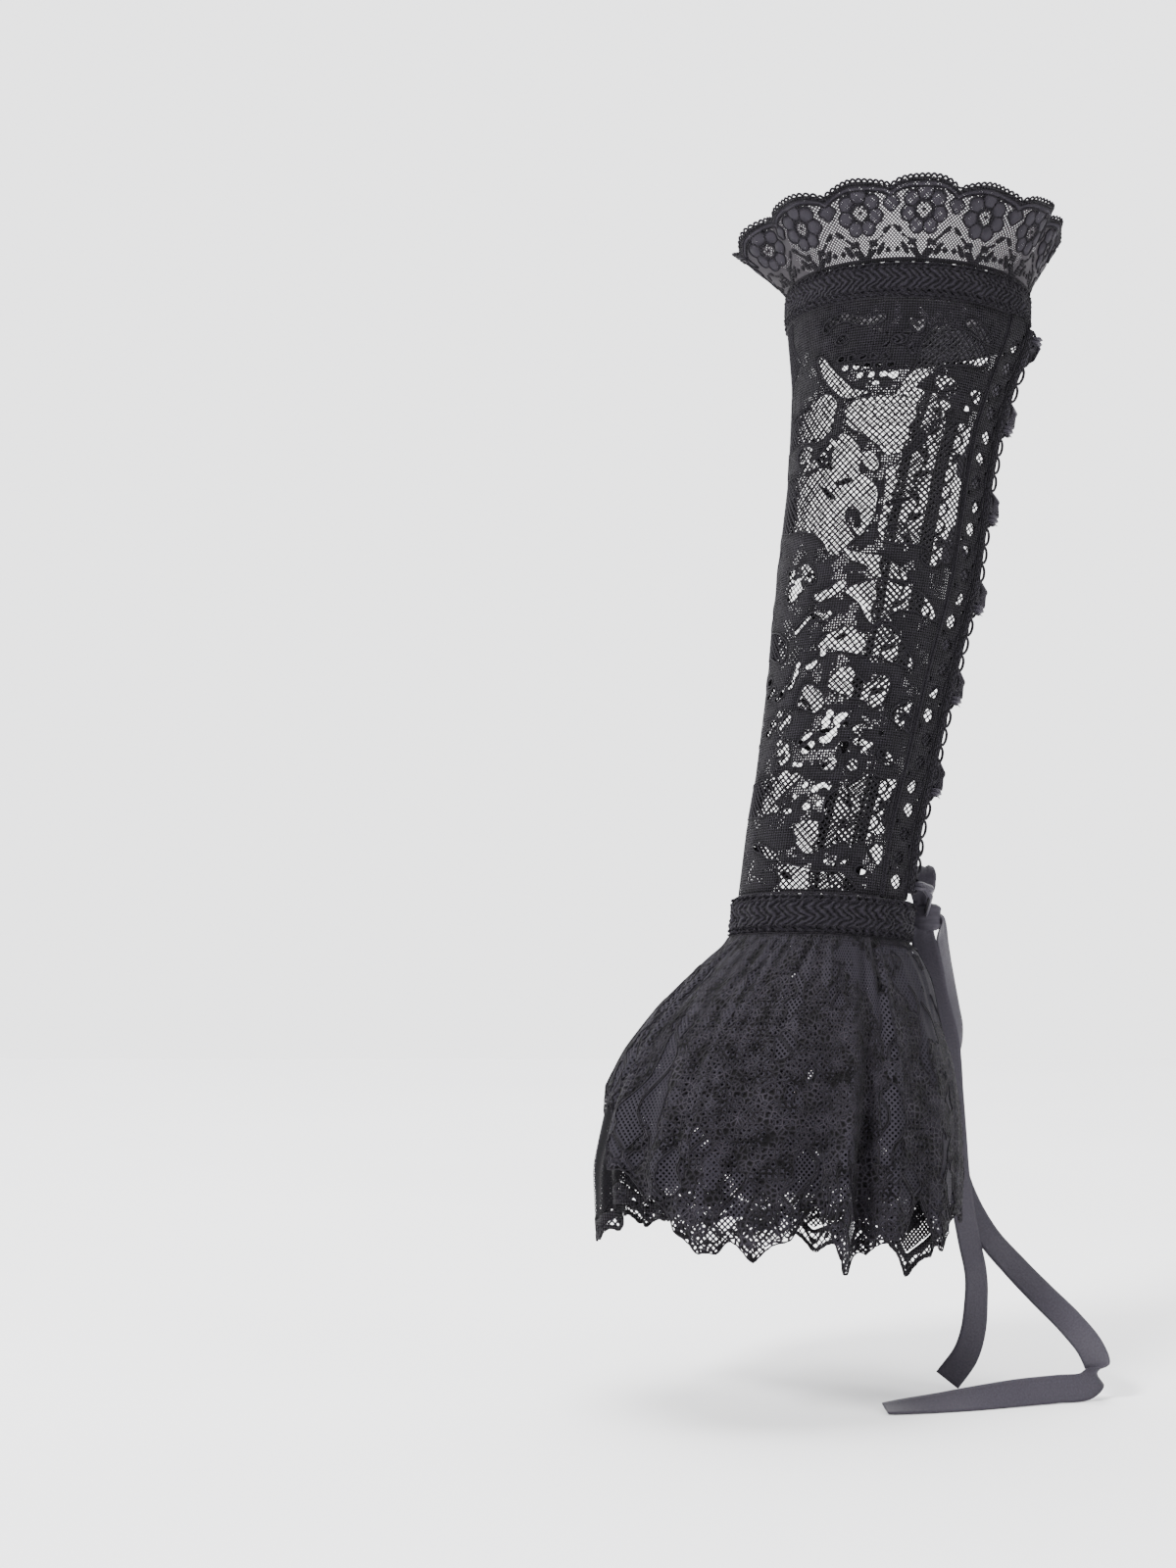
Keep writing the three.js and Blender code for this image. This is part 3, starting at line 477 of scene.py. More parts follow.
class CordTool:
    """Geometry Nodes that lay a round thread along every chain of edges."""

    def __init__(self) -> None:
        """Builds the tree with its named inputs."""
        tree = self.tree = bpy.data.node_groups.new("thread_along_lines", "GeometryNodeTree")
        for name, kind, way in (("Lines", "Geometry", "INPUT"), ("Radius", "Float", "INPUT"),
                                ("Sides", "Int", "INPUT"), ("Finish", "Material", "INPUT"),
                                ("Threads", "Geometry", "OUTPUT")):
            tree.interface.new_socket(name, in_out=way, socket_type="NodeSocket" + kind)
        start, end, lines, ring, sweep, realize, finish = (tree.nodes.new(kind) for kind in (
            "NodeGroupInput", "NodeGroupOutput", "GeometryNodeMeshToCurve",
            "GeometryNodeCurvePrimitiveCircle", "GeometryNodeCurveToMesh",
            "GeometryNodeRealizeInstances", "GeometryNodeSetMaterial"))
        sweep.inputs["Fill Caps"].default_value = True
        for source, given, target, taken in (
                (start, "Lines", lines, "Mesh"), (start, "Radius", ring, "Radius"),
                (start, "Sides", ring, "Resolution"), (lines, "Curve", sweep, "Curve"),
                (ring, "Curve", sweep, "Profile Curve"), (sweep, "Mesh", realize, "Geometry"),
                (realize, "Geometry", finish, "Geometry"), (start, "Finish", finish, "Material"),
                (finish, "Geometry", end, "Threads")):
            tree.links.new(source.outputs[given], target.inputs[taken])

    def lay(self, name: str, chains: Sequence[Array], radius: float, sides: int,
            material: Material) -> Thing:
        """Lays threads along chains of points.

        Args:
            name: Piece name.
            chains: Points of each thread in millimetres.
            radius: Of the thread, in millimetres.
            sides: Of its round.
            material: Its finish.

        Returns:
            A plain mesh object.
        """
        points = np.concatenate(chains) * 0.001
        last = np.cumsum([len(chain) for chain in chains]) - 1
        first = np.delete(np.arange(len(points)), last)
        lines = bpy.data.meshes.new(name + "_lines")
        lines.vertices.add(len(points))
        lines.vertices.foreach_set("co", points.astype(np.float32).ravel())
        lines.edges.add(len(first))
        lines.edges.foreach_set("vertices", np.stack([first, first + 1], -1).astype(np.int32).ravel())
        lines.update()
        carrier = place_in_scene(name + "_lines", lines)
        nodes = carrier.modifiers.new("threads", "NODES")
        nodes.node_group = self.tree
        sockets = {item.name: item.identifier for item in self.tree.interface.items_tree}
        for socket, value in (("Radius", radius * 0.001), ("Sides", sides), ("Finish", material)):
            nodes[sockets[socket]] = value
        view = bpy.context.evaluated_depsgraph_get()
        mesh = bpy.data.meshes.new_from_object(carrier.evaluated_get(view), depsgraph=view)
        mesh.name = name
        if not mesh.materials:
            mesh.materials.append(material)
        mesh.shade_smooth()
        bpy.data.objects.remove(carrier)
        return place_in_scene(name, mesh)


def finish_piece(piece: Thing, slot: Slot, *nodes: str) -> Thing:
    """Lets a piece ride on the one body and take its nodes' place."""
    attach(piece, "root")
    if nodes:
        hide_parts(*nodes)
    triangles = sum(len(face.vertices) - 2 for face in piece.data.polygons)
    log.info("%s: %d triangles", piece.name, triangles)
    return piece


# Lace charts


def directed(faces: Array) -> Array:
    """The three sides of every triangle, each from corner to corner."""
    return np.concatenate([faces[:, [0, 1]], faces[:, [1, 2]], faces[:, [2, 0]]])


def rounded(points: Array) -> Array:
    """A closed outline with its corners cut off twice."""
    for _ in range(2):
        after = np.roll(points, -1, 0)
        points = np.stack([points * 0.75 + after * 0.25, points * 0.25 + after * 0.75], 1).reshape(-1, 2)
    return points


def soft_noise(shape: tuple[int, int], pitch: tuple[float, float], seed: int) -> Array:
    """Smooth noise from -1 to 1 on a grid, with its pitches up and across in cells."""
    rng = np.random.default_rng(seed)
    coarse = rng.uniform(-1, 1, (int(shape[0] / pitch[0]) + 4, int(shape[1] / pitch[1]) + 4))
    y, x = np.arange(shape[0]) / pitch[0], np.arange(shape[1]) / pitch[1]
    j, i = y.astype(int), x.astype(int)
    v, u = (y - j)[:, None], (x - i)[None, :]
    v, u = v * v * (3 - 2 * v), u * u * (3 - 2 * u)
    near = coarse[j][:, i] * (1 - u) + coarse[j][:, i + 1] * u
    far = coarse[j + 1][:, i] * (1 - u) + coarse[j + 1][:, i + 1] * u
    return near * (1 - v) + far * v


def oval(x: float, y: float, half_across: float, half_along: float) -> Array:
    """The outline of an oval."""
    turn = np.linspace(0, 2 * math.pi, 10, endpoint=False)
    return np.stack([x + half_across * np.cos(turn), y + half_along * np.sin(turn)], -1)


@dataclass
class LaceChart:
    """A flat pattern of lace: where there is cloth, where net and where nothing.

    cloth is in millimetres, above nought inside the cloth and below it in the gaps.
    """

    low: tuple[float, float]
    high: tuple[float, float]
    cell: float = 0.5
    dense: bool = True

    def __post_init__(self) -> None:
        """Lays out the grid."""
        self.across, self.along = (np.arange(low, high + self.cell / 2, self.cell)
                                   for low, high in zip(self.low, self.high))
        self.x, self.y = np.meshgrid(self.across, self.along)
        self.cloth = np.full(self.x.shape, 20.0 if self.dense else -20.0)
        self.net = np.full(self.x.shape, not self.dense)

    def around(self, low: Array, high: Array) -> tuple[slice, slice]:
        """The part of the grid around a shape."""
        first = np.floor((np.asarray(low) - self.low) / self.cell).astype(int) - 4
        last = np.ceil((np.asarray(high) - self.low) / self.cell).astype(int) + 5
        first, last = np.maximum(first, 0), np.maximum(last, 1)
        return slice(first[1], last[1]), slice(first[0], last[0])

    def add(self, box: tuple[slice, slice], cloth: Array) -> None:
        """Joins more cloth to a part of the chart."""
        self.cloth[box] = np.maximum(self.cloth[box], cloth)

    def distance(self, points: Array, closed: bool) -> tuple[tuple[slice, slice], Array, Array]:
        """Distance to an outline, and whether a place is inside it."""
        box = self.around(points.min(0) - 3, points.max(0) + 3)
        x, y = self.x[box], self.y[box]
        best, inside = np.full(x.shape, 1e6), np.zeros(x.shape, bool)
        ends = np.roll(points, -1, 0) if closed else points[1:]
        for (ax, ay), (bx, by) in zip(points, ends):
            ex, ey = bx - ax, by - ay
            share = np.clip(((x - ax) * ex + (y - ay) * ey) / max(ex * ex + ey * ey, 1e-9), 0, 1)
            best = np.minimum(best, np.hypot(x - ax - share * ex, y - ay - share * ey))
            if ay != by:
                inside ^= ((ay > y) != (by > y)) & (x < (bx - ax) * (y - ay) / (by - ay) + ax)
        return box, best, inside

    def window(self, outline: Array, net: bool = True) -> None:
        """Takes the cloth away inside an outline and leaves net or nothing."""
        box, best, inside = self.distance(rounded(outline), True)
        self.cloth[box] = np.minimum(self.cloth[box], np.where(inside, -best, best))
        self.net[box] |= inside & net

    def hole(self, x: float, y: float, rx: float, ry: float) -> None:
        """An open oval, without net."""
        box = self.around((x - rx, y - ry), (x + rx, y + ry))
        away = np.hypot((self.x[box] - x) / rx, (self.y[box] - y) / ry) - 1
        self.cloth[box] = np.minimum(self.cloth[box], away * min(rx, ry))
        self.net[box] &= away > 0.0

    def dot(self, x: float, y: float, radius: float) -> None:
        """A round spot of cloth."""
        box = self.around((x - radius, y - radius), (x + radius, y + radius))
        self.add(box, radius - np.hypot(self.x[box] - x, self.y[box] - y))

    def stroke(self, points: Sequence, width: float) -> None:
        """Cloth along a line."""
        box, best, _ = self.distance(np.asarray(points, float), False)
        self.add(box, width / 2 - best)

    def leaf(self, start: Array, end: Array, width: float) -> None:
        """A pointed oval of cloth between two points."""
        start, end = np.asarray(start, float), np.asarray(end, float)
        box = self.around(np.minimum(start, end) - width, np.maximum(start, end) + width)
        along = end - start
        length = float(np.hypot(*along))
        along /= length
        dx, dy = self.x[box] - start[0], self.y[box] - start[1]
        share = (dx * along[0] + dy * along[1]) / length
        off = np.abs(dx * along[1] - dy * along[0])
        half = width / 2 * np.sqrt(np.clip(4 * share * (1 - share), 0, 1)) * (1.15 - 0.5 * share)
        self.add(box, np.where((share > 0) & (share < 1), half - off, -1.0))

    def flower(self, x: float, y: float, radius: float, petals: int, turn: float = 0.0) -> None:
        """A flower of round petals with an open ring around its eye."""
        box = self.around((x - radius * 1.4, y - radius * 1.4), (x + radius * 1.4, y + radius * 1.4))
        dx, dy = self.x[box] - x, self.y[box] - y
        away, way = np.hypot(dx, dy), np.arctan2(dy, dx) - turn
        rim = radius * (0.72 + 0.28 * np.abs(np.cos(petals * way / 2)) ** 0.6)
        ring = np.abs(away - radius * 0.42) - radius * 0.07
        bars = radius * (0.10 - 0.25 * np.abs(np.sin(petals * way)))
        self.add(box, np.minimum(rim - away, np.maximum(ring, bars)))

    def ragged(self, height: float, pitch: float, seed: int) -> None:
        """Makes outlines uneven, as worked by hand."""
        self.cloth += height * soft_noise(self.x.shape, (pitch / self.cell,) * 2, seed)

    def read(self, grid: Array, x: Array, y: Array) -> Array:
        """A grid's value at places."""
        j, i = (np.clip(((at - low) / self.cell).round().astype(int), 0, size - 1)
                for at, low, size in zip((y, x), self.low[::-1], grid.shape))
        return grid[j, i]

    def crossings(self, cloth: Array) -> dict:
        """The grid edges that the outline crosses, each with the next ones on its two sides."""
        inside = (cloth > 0).astype(int)
        code = inside[:-1, :-1] + 2 * inside[:-1, 1:] + 4 * inside[1:, 1:] + 8 * inside[1:, :-1]
        links: dict[tuple[int, int, int], list[tuple[int, int, int]]] = {}
        for j, i in zip(*(part.tolist() for part in np.nonzero((code > 0) & (code < 15)))):
            bottom, right, top, left = (0, j, i), (1, j, i + 1), (0, j + 1, i), (1, j, i)
            kind = int(code[j, i])
            if kind in (5, 10):
                joined = cloth[j : j + 2, i : i + 2].mean() > 0
                split = ((left, top), (bottom, right))
                pairs = split if joined == (kind == 5) else ((left, bottom), (right, top))
            else:
                pairs = ({1: (left, bottom), 2: (bottom, right), 3: (left, right), 4: (right, top),
                          6: (bottom, top), 7: (left, top)}[min(kind, 15 - kind)],)
            for a, b in pairs:
                links.setdefault(a, []).append(b)
                links.setdefault(b, []).append(a)
        return links

    def outlines(self, step: float) -> list[Array]:
        """The closed outlines of the cloth, in steps of about one length."""
        cloth = np.pad(self.cloth, 1, constant_values=-1.0)
        cloth = np.where(np.abs(cloth) < 1e-4, 1e-4, cloth)
        links = self.crossings(cloth)

        def where(edge: tuple[int, int, int]) -> tuple[float, float]:
            """The place where the outline crosses a grid edge."""
            upright, j, i = edge
            a, b = cloth[j, i], cloth[j + upright, i + 1 - upright]
            share = a / (a - b)
            return i + share * (1 - upright), j + share * upright

        found = []
        while links:
            start = next(iter(links))
            chain, here = [start], links.pop(start)[0]
            while here != start and here in links:
                chain.append(here)
                after = links.pop(here)
                here = after[0] if after[0] in links or after[0] == start and len(chain) > 2 else after[1]
            if len(chain) < 5:
                continue
            line = (np.array([where(edge) for edge in chain]) - 1) * self.cell + self.low
            for _ in range(2):
                line = (np.roll(line, 1, 0) + 2 * line + np.roll(line, -1, 0)) / 4
            loop = np.concatenate([line, line[:1]])
            length = travelled(loop)
            if length[-1] < 3 * step:
                continue
            places = np.linspace(0, length[-1], max(int(length[-1] / step), 5), endpoint=False)
            found.append(np.stack([np.interp(places, length, loop[:, k]) for k in (0, 1)], -1))
        return found

    def clothwork(self, outlines: Sequence[Array], spacing: float) -> tuple[Array, Array]:
        """Fills the cloth between its outlines with triangles.

        Args:
            outlines: The closed outlines.
            spacing: Between the points inside.

        Returns:
            The points and the triangles.
        """
        edges, first = [], 0
        for line in outlines:
            run = np.arange(len(line))
            edges.append(np.stack([run, np.roll(run, -1)], -1) + first)
            first += len(line)
        x, y = np.meshgrid(np.arange(self.low[0], self.high[0], spacing),
                           np.arange(self.low[1], self.high[1], spacing * 0.87))
        x = x + (np.arange(len(y)) % 2)[:, None] * spacing / 2
        inner = self.read(self.cloth, x, y) > spacing * 0.42
        flat = np.concatenate([*outlines, np.stack([x[inner], y[inner]], -1)])
        result = delaunay_2d_cdt([Vector(p) for p in flat.tolist()],
                                 np.concatenate(edges).tolist(), [], 0, 1e-4)
        places, faces = np.array([tuple(p) for p in result[0]]), np.array(result[2], int)
        bars = {tuple(sorted(edge)) for edge, given in zip(result[1], result[4]) if given}
        used, number = np.unique(faces[self.kept(places, faces, bars)], return_inverse=True)
        return places[used], number.reshape(-1, 3)

    def kept(self, places: Array, faces: Array, bars: set[tuple[int, int]]) -> Array:
        """Which faces are cloth: whole regions between outlines are kept or dropped."""
        size = len(places)
        sides = np.sort(directed(faces), 1)
        keys = sides[:, 0] * size + sides[:, 1]
        order = np.argsort(keys, kind="stable")
        keys, owner = keys[order], np.tile(np.arange(len(faces)), 3)[order]
        barred = np.isin(keys[1:], [a * size + b for a, b in bars])
        shared = (keys[1:] == keys[:-1]) & ~barred
        a, b = owner[:-1][shared], owner[1:][shared]
        label, after = None, np.arange(len(faces))
        while label is None or (after != label).any():
            label = after
            low = np.minimum(label[a], label[b])
            after = label.copy()
            np.minimum.at(after, a, low)
            np.minimum.at(after, b, low)
            after = after[after]
        corner = places[faces]
        area = np.abs(np.cross(corner[:, 1] - corner[:, 0], corner[:, 2] - corner[:, 0]))
        value = np.clip(self.read(self.cloth, *corner.mean(1).T), -1, 1)
        return np.bincount(label, area * value, len(faces))[label] > 0

    def solid(self, place: Place, outlines: Sequence[Array], spacing: float, wall: float) -> Patch:
        """The clothwork as a thin closed solid on a surface.

        Args:
            place: Surface by two cloth places and a distance off it.
            outlines: The closed outlines.
            spacing: Between the points inside.
            wall: Thickness of the cloth.

        Returns:
            A patch of triangles.
        """
        flat, faces = self.clothwork(outlines, spacing)
        size = len(flat)
        keys = set(map(tuple, directed(faces).tolist()))
        a, b = np.array([(a, b) for a, b in keys if (b, a) not in keys]).T
        walls = [np.stack([b, a, a + size], -1), np.stack([b, a + size, b + size], -1)]
        points = np.concatenate([place(*flat.T, np.full(size, side * wall / 2)) for side in (1, -1)])
        everything = np.concatenate([faces, faces[:, ::-1] + size, *walls])
        return outwards(Patch(points, everything, np.tile(flat / 10, (2, 1))), faces[size // 9], size)

    def strands(self, place: Place, pitch: float,
                share: Callable[[Array, Array], Array] | None = None) -> list[Array]:
        """Threads of a square net that stands on its corner, wherever the chart has net.

        Args:
            place: Surface by two cloth places and a distance off it.
            pitch: Between parallel threads.
            share: Limits the net to a part of the chart.

        Returns:
            Chains of points.
        """
        (x0, y0), (x1, y1) = self.low, self.high
        reach = int(((x1 - x0) + (y1 - y0)) / 1.414 / pitch) + 2
        c, t = np.meshgrid(np.arange(-reach, reach), np.arange(-reach, reach), indexing="ij")
        x = x0 + (c + t) * pitch / 1.4142
        y = y0 + (t - c) * pitch / 1.4142
        sway = 0.35 * np.sin(x / 7.3 + y / 11.1) + 0.25 * np.sin(y / 5.1 - x / 13.7)
        net = (x >= x0) & (x <= x1) & (y >= y0) & (y <= y1) & self.read(self.net & (self.cloth < 0), x, y)
        if share is not None:
            net &= share(x, y)
        chains = []
        for here, px, py, moved, over in ((net, x, y, sway, -0.12), (net.T, x.T, y.T, sway.T, 0.12)):
            span = np.zeros_like(here)
            span[:, :-1] |= here[:, :-1] | here[:, 1:]
            for row in np.nonzero(span.any(1))[0]:
                edges = np.flatnonzero(np.diff(np.concatenate([[0], span[row].astype(int), [0]])))
                for first, last in zip(edges[::2], edges[1::2]):
                    part = row, slice(first, last + 1)
                    chains.append(place(px[part] + moved[part], py[part] + moved[part] * 0.6,
                                        np.full(last + 1 - first, over)))
        return chains


# Finishes


class Tone:
    """A shader value that is reckoned with as a number: each sign adds a math node."""

    def __init__(self, tree: bpy.types.NodeTree, socket: bpy.types.NodeSocket) -> None:
        """Holds one output socket of a tree."""
        self.tree, self.socket = tree, socket

    def into(self, entry: bpy.types.NodeSocket) -> None:
        """Links the value to an input."""
        self.tree.links.new(self.socket, entry)

    def math(self, operation: str, *others: "Tone | float", first: "Tone | float | None" = None) -> "Tone":
        """A math node on this value and others, or on a first one and this."""
        node = self.tree.nodes.new("ShaderNodeMath")
        node.operation = operation
        for entry, value in zip(node.inputs, (self, *others) if first is None else (first, self)):
            if isinstance(value, Tone):
                value.into(entry)
            else:
                entry.default_value = value
        return Tone(self.tree, node.outputs[0])

    def __rsub__(self, other: float) -> "Tone":
        """A number less this value."""
        return self.math("SUBTRACT", first=other)

    __add__ = partialmethod(math, "ADD")
    __sub__ = partialmethod(math, "SUBTRACT")
    __mul__ = partialmethod(math, "MULTIPLY")
    # one where this is more, else nought
    __gt__ = partialmethod(math, "GREATER_THAN")


class Paint:
    """Short ways to build a material."""

    def __init__(self, name: str) -> None:
        """Starts a material with its surface shader."""
        self.material = bpy.data.materials.new(name)
        self.material.use_nodes = True
        self.tree = self.material.node_tree
        self.entries = self.tree.nodes["Principled BSDF"].inputs

    def node(self, kind: str, values: dict | None = None, **settings: object) -> bpy.types.Node:
        """Adds a node with its settings and the values of its inputs."""
        made = self.tree.nodes.new(kind)
        for key, value in settings.items():
            setattr(made, key, value)
        for key, value in (values or {}).items():
            made.inputs[key].default_value = value
        return made

    def set(self, **values: object) -> None:
        """Sets inputs of the surface shader, with low lines for the blanks in their names."""
        for key, value in values.items():
            self.entries[key.replace("_", " ")].default_value = value

    def cloth(self) -> bpy.types.NodeSocket:
        """The place on the cloth, in centimetres."""
        return self.node("ShaderNodeUVMap", uv_map="cloth").outputs[0]

    def cloth_axes(self) -> tuple[Tone, Tone]:
        """The two cloth coordinates, in centimetres."""
        split = self.node("ShaderNodeSeparateXYZ")
        self.tree.links.new(self.cloth(), split.inputs[0])
        return Tone(self.tree, split.outputs[0]), Tone(self.tree, split.outputs[1])

    def noise(self, scale: float, detail: float = 2.0, on_cloth: bool = False) -> Tone:
        """Noise on object coordinates in metres, or on the cloth in centimetres."""
        made = self.node("ShaderNodeTexNoise", {"Scale": scale, "Detail": detail})
        source = self.cloth() if on_cloth else self.node("ShaderNodeTexCoord").outputs["Object"]
        self.tree.links.new(source, made.inputs["Vector"])
        return Tone(self.tree, made.outputs[0])

    def colour(self, share: Tone, low: Sequence[float], high: Sequence[float]) -> None:
        """Blends the base colour between two tones."""
        share_in, low_in, high_in, blend = 0, 6, 7, 2
        mix = self.node("ShaderNodeMix", {low_in: (*low, 1), high_in: (*high, 1)}, data_type="RGBA")
        share.into(mix.inputs[share_in])
        self.tree.links.new(mix.outputs[blend], self.entries["Base Color"])

    def matt(self, roughness: float) -> None:
        """Gives the surface the low gloss of dull thread."""
        self.set(Roughness=roughness, Specular_IOR_Level=0.1, Sheen_Weight=0.03, Sheen_Roughness=0.45)

    def bump(self, height: Tone, distance: float, strength: float = 1.0) -> None:
        """Raises the surface by a height, in millimetres."""
        made = self.node("ShaderNodeBump", {"Strength": strength, "Distance": distance * 0.001})
        height.into(made.inputs["Height"])
        self.tree.links.new(made.outputs[0], self.entries["Normal"])

    def diagonals(self, turns: float) -> list[Tone]:
        """The two slanting coordinates of the cloth, in turns for each centimetre."""
        across, along = self.cloth_axes()
        return [(across + along) * turns, (across - along) * turns]


@dataclass(frozen=True)
class Finish:
    """What every finish shares: it is painted on a new material of its name."""

    name: str

    def build(self) -> Material:
        """Makes the material."""
        paint = Paint(self.name)
        self.lay_on(paint)
        return paint.material


@dataclass(frozen=True)
class ThreadFinish(Finish):
    """Matt black thread, for net, cords and loops."""

    name: str = "black_thread"
    tones: tuple = ((0.004, 0.0034, 0.0048), (0.014, 0.0122, 0.0165))

    def lay_on(self, paint: Paint) -> None:
        """Lays it on."""
        paint.colour(paint.noise(900), *self.tones)
        paint.matt(0.75)
        paint.bump(paint.noise(4200, 1), 0.12, 0.7)


@dataclass(frozen=True)
class ClothworkFinish(Finish):
    """Dense lace: closely worked threads, with pinholes in its half-open parts."""

    name: str = "dense_lace"
    tones: tuple = ((0.0012, 0.001, 0.0015), (0.030, 0.026, 0.035))
    pitch: float = 1.3
    pinhole: float = 0.62
    open_share: float = 0.52

    def lay_on(self, paint: Paint) -> None:
        """Lays it on."""
        first, second = (line.math("SINE") for line in paint.diagonals(7.0711 / self.pitch * 2 * math.pi))
        weave = first * second
        grain = paint.noise(26, 3, True)
        # Painted shade: the colour darkens with the weave where the bump sinks towards the pinholes; the
        # grain term is tone that differs at random.
        paint.colour(weave * -0.45 + grain * (paint.noise(1.6, 3, True) * 1.1), *self.tones)
        paint.bump(weave * -0.8 + grain * 1.5, 0.6, 0.9)
        half_open = paint.noise(1.7, 2, True) > self.open_share
        (1.0 - (weave > 1 - self.pinhole) * half_open).into(paint.entries["Alpha"])
        paint.matt(0.8)


@dataclass(frozen=True)
class OpenworkFinish(Finish):
    """Lace worked as an uneven honeycomb of threads with filled-in places."""

    name: str = "openwork_lace"
    cells: float = 5.0
    thread: float = 0.18
    filled: float = 0.57
    tones: tuple = ((0.0008, 0.0007, 0.001), (0.050, 0.044, 0.057))

    def lay_on(self, paint: Paint) -> None:
        """Lays it on."""
        comb = paint.node("ShaderNodeTexVoronoi", {"Scale": self.cells, "Randomness": 0.95},
                          feature="DISTANCE_TO_EDGE", voronoi_dimensions="2D")
        paint.tree.links.new(paint.cloth(), comb.inputs["Vector"])
        away = Tone(paint.tree, comb.outputs["Distance"])
        grain = paint.noise(24, 3, True)
        near = 1.0 - away * 2.4
        broad = (paint.noise(1.3, 3, True) * 3.6 + -1.1).math("MAXIMUM", 0.1)
        # Painted light and shade: the colour follows the bump, lighter on the raised threads and grain and
        # near black in the sunken middles of the filled cells; broad adds lighter patches, placed at random,
        # that stand in for lit thread.
        paint.colour(near * near * grain * broad, *self.tones)
        paint.bump(near + grain * 1.2, 0.6, 0.9)
        filled = paint.noise(1.5, 2, True) > self.filled
        away.math("LESS_THAN", self.thread).math("MAXIMUM", filled).into(paint.entries["Alpha"])
        paint.matt(0.8)


@dataclass(frozen=True)
class NetFinish(Finish):
    """Fine net that stands on its corner, open between its threads."""

    pitch: float
    width: float
    tone: tuple

    def lay_on(self, paint: Paint) -> None:
        """Lays it on."""
        paint.set(Base_Color=(*self.tone, 1))
        edge = 0.5 - self.width / self.pitch / 2
        first, second = ((line.math("FRACT") - 0.5).math("ABSOLUTE") > edge
                         for line in paint.diagonals(7.0711 / self.pitch))
        first.math("MAXIMUM", second).into(paint.entries["Alpha"])
        paint.matt(0.75)


@dataclass(frozen=True)
class BandFinish(Finish):
    """Stretch tape with a broken herringbone rib."""

    name: str = "stretch_band"
    rib: float = 2.3
    zigzag: float = 3.4
    tones: tuple = ((0.0008, 0.0006, 0.001), (0.034, 0.030, 0.040))

    def lay_on(self, paint: Paint) -> None:
        """Lays it on."""
        across, along = paint.cloth_axes()
        slant = across * 10.0 + (along * 10.0).math("PINGPONG", self.zigzag)
        sway = paint.noise(2.5, 2, True) * 3.4 + slant
        ribs = (sway * (2 * math.pi / self.rib)).math("SINE")
        grain = paint.noise(22, 3, True)
        paint.bump(ribs * 0.7 + grain * 1.4, 0.7, 0.95)
        # Painted light and shade: the colour follows the ribs and grain of the bump, lighter on their crests
        # and darker in their grooves.
        paint.colour(ribs * 0.3 + grain * 0.8, *self.tones)
        paint.matt(0.85)


@dataclass(frozen=True)
class SatinFinish(Finish):
    """Black satin ribbon with a fine rib across and a firm edge."""

    name: str = "black_satin"
    tones: tuple = ((0.024, 0.0215, 0.028), (0.052, 0.047, 0.060))

    def lay_on(self, paint: Paint) -> None:
        """Lays it on."""
        across, along = paint.cloth_axes()
        rib = (along * (2 * math.pi / 0.028)).math("SINE")
        edge = across.math("ABSOLUTE") > 0.415
        paint.colour(paint.noise(14, 3, True), *self.tones)
        paint.bump(rib * 0.35 + edge * 1.2 + paint.noise(3, 3, True) * 2.5, 0.08, 0.6)
        paint.set(Roughness=0.42, Specular_IOR_Level=0.1, Anisotropic=0.5)


@dataclass(frozen=True)
class StageFinish(Finish):
    """Pale matt floor."""

    name: str = "pale_floor"

    def lay_on(self, paint: Paint) -> None:
        """Lays it on."""
        paint.colour(paint.noise(5), (0.80, 0.80, 0.81), (0.86, 0.86, 0.87))
        paint.set(Roughness=0.9)


@dataclass(frozen=True)
class GlowFinish(Finish):
    """The lit white wall behind the sleeve."""

    name: str = "white_wall"
    strength: float = 2.9

    def lay_on(self, paint: Paint) -> None:
        """Lays it on."""
        paint.set(Base_Color=(0, 0, 0, 1), Specular_IOR_Level=0, Emission_Color=(0.985, 0.988, 1.0, 1),
                  Emission_Strength=self.strength)


class Wardrobe:
    """All finishes and the thread tool."""

    def __init__(self) -> None:
        """Builds them."""
        self.thread = ThreadFinish().build()
        self.clothwork = ClothworkFinish().build()
        self.openwork = OpenworkFinish().build()
        self.close_lace = ClothworkFinish("close_lace", pinhole=0.3, open_share=0.6).build()
        self.tulle = NetFinish("tulle", 0.95, 0.57, (0.045, 0.041, 0.046)).build()
        self.petal = NetFinish("petal_lace", 0.7, 0.42, (0.03, 0.027, 0.034)).build()
        # The outer and inner nets are one black net: the outer is painted lighter as lit thread, and the
        # inner near black as painted shade inside the flounce.
        self.outer_net = NetFinish("outer_net", 1.4, 0.56, (0.02, 0.018, 0.024)).build()
        self.inner_net = NetFinish("inner_net", 1.2, 0.52, (0.004, 0.0035, 0.005)).build()
        self.hem_net = NetFinish("hem_net", 1.65, 0.42, (0.012, 0.0105, 0.0145)).build()
        self.band = BandFinish().build()
        self.satin = SatinFinish().build()
        self.floor = StageFinish().build()
        self.wall = GlowFinish().build()
        self.cords = CordTool()


# Sub-assemblies


@dataclass
class Part:
    """What every sub-assembly shares: the finishes, and how its pieces are made."""

    wardrobe: Wardrobe

    def cord(self, name: str, chains: Sequence[Array], radius: float, sides: int,
             slot: Slot = Slot.LACE) -> Thing:
        """A piece of thread along chains of points."""
        return finish_piece(self.wardrobe.cords.lay(name, chains, radius, sides, self.wardrobe.thread), slot)

    def rims(self, name: str, place: Place, outlines: Sequence[Array], off: float, radius: float,
             least: int = 0) -> Thing:
        """A piece of cord along every outline with at least so many points."""
        loops = [np.concatenate([line, line[:1]]) for line in outlines if len(line) >= least]
        return self.cord(name, [place(*loop.T, np.full(len(loop), off)) for loop in loops], radius, 3)

    def cloth(self, name: str, patch: Patch, finish: Material, *nodes: str,
              slot: Slot = Slot.LACE) -> Thing:
        """A piece from a patch of faces."""
        return finish_piece(make_mesh(name, patch, finish), slot, *nodes)


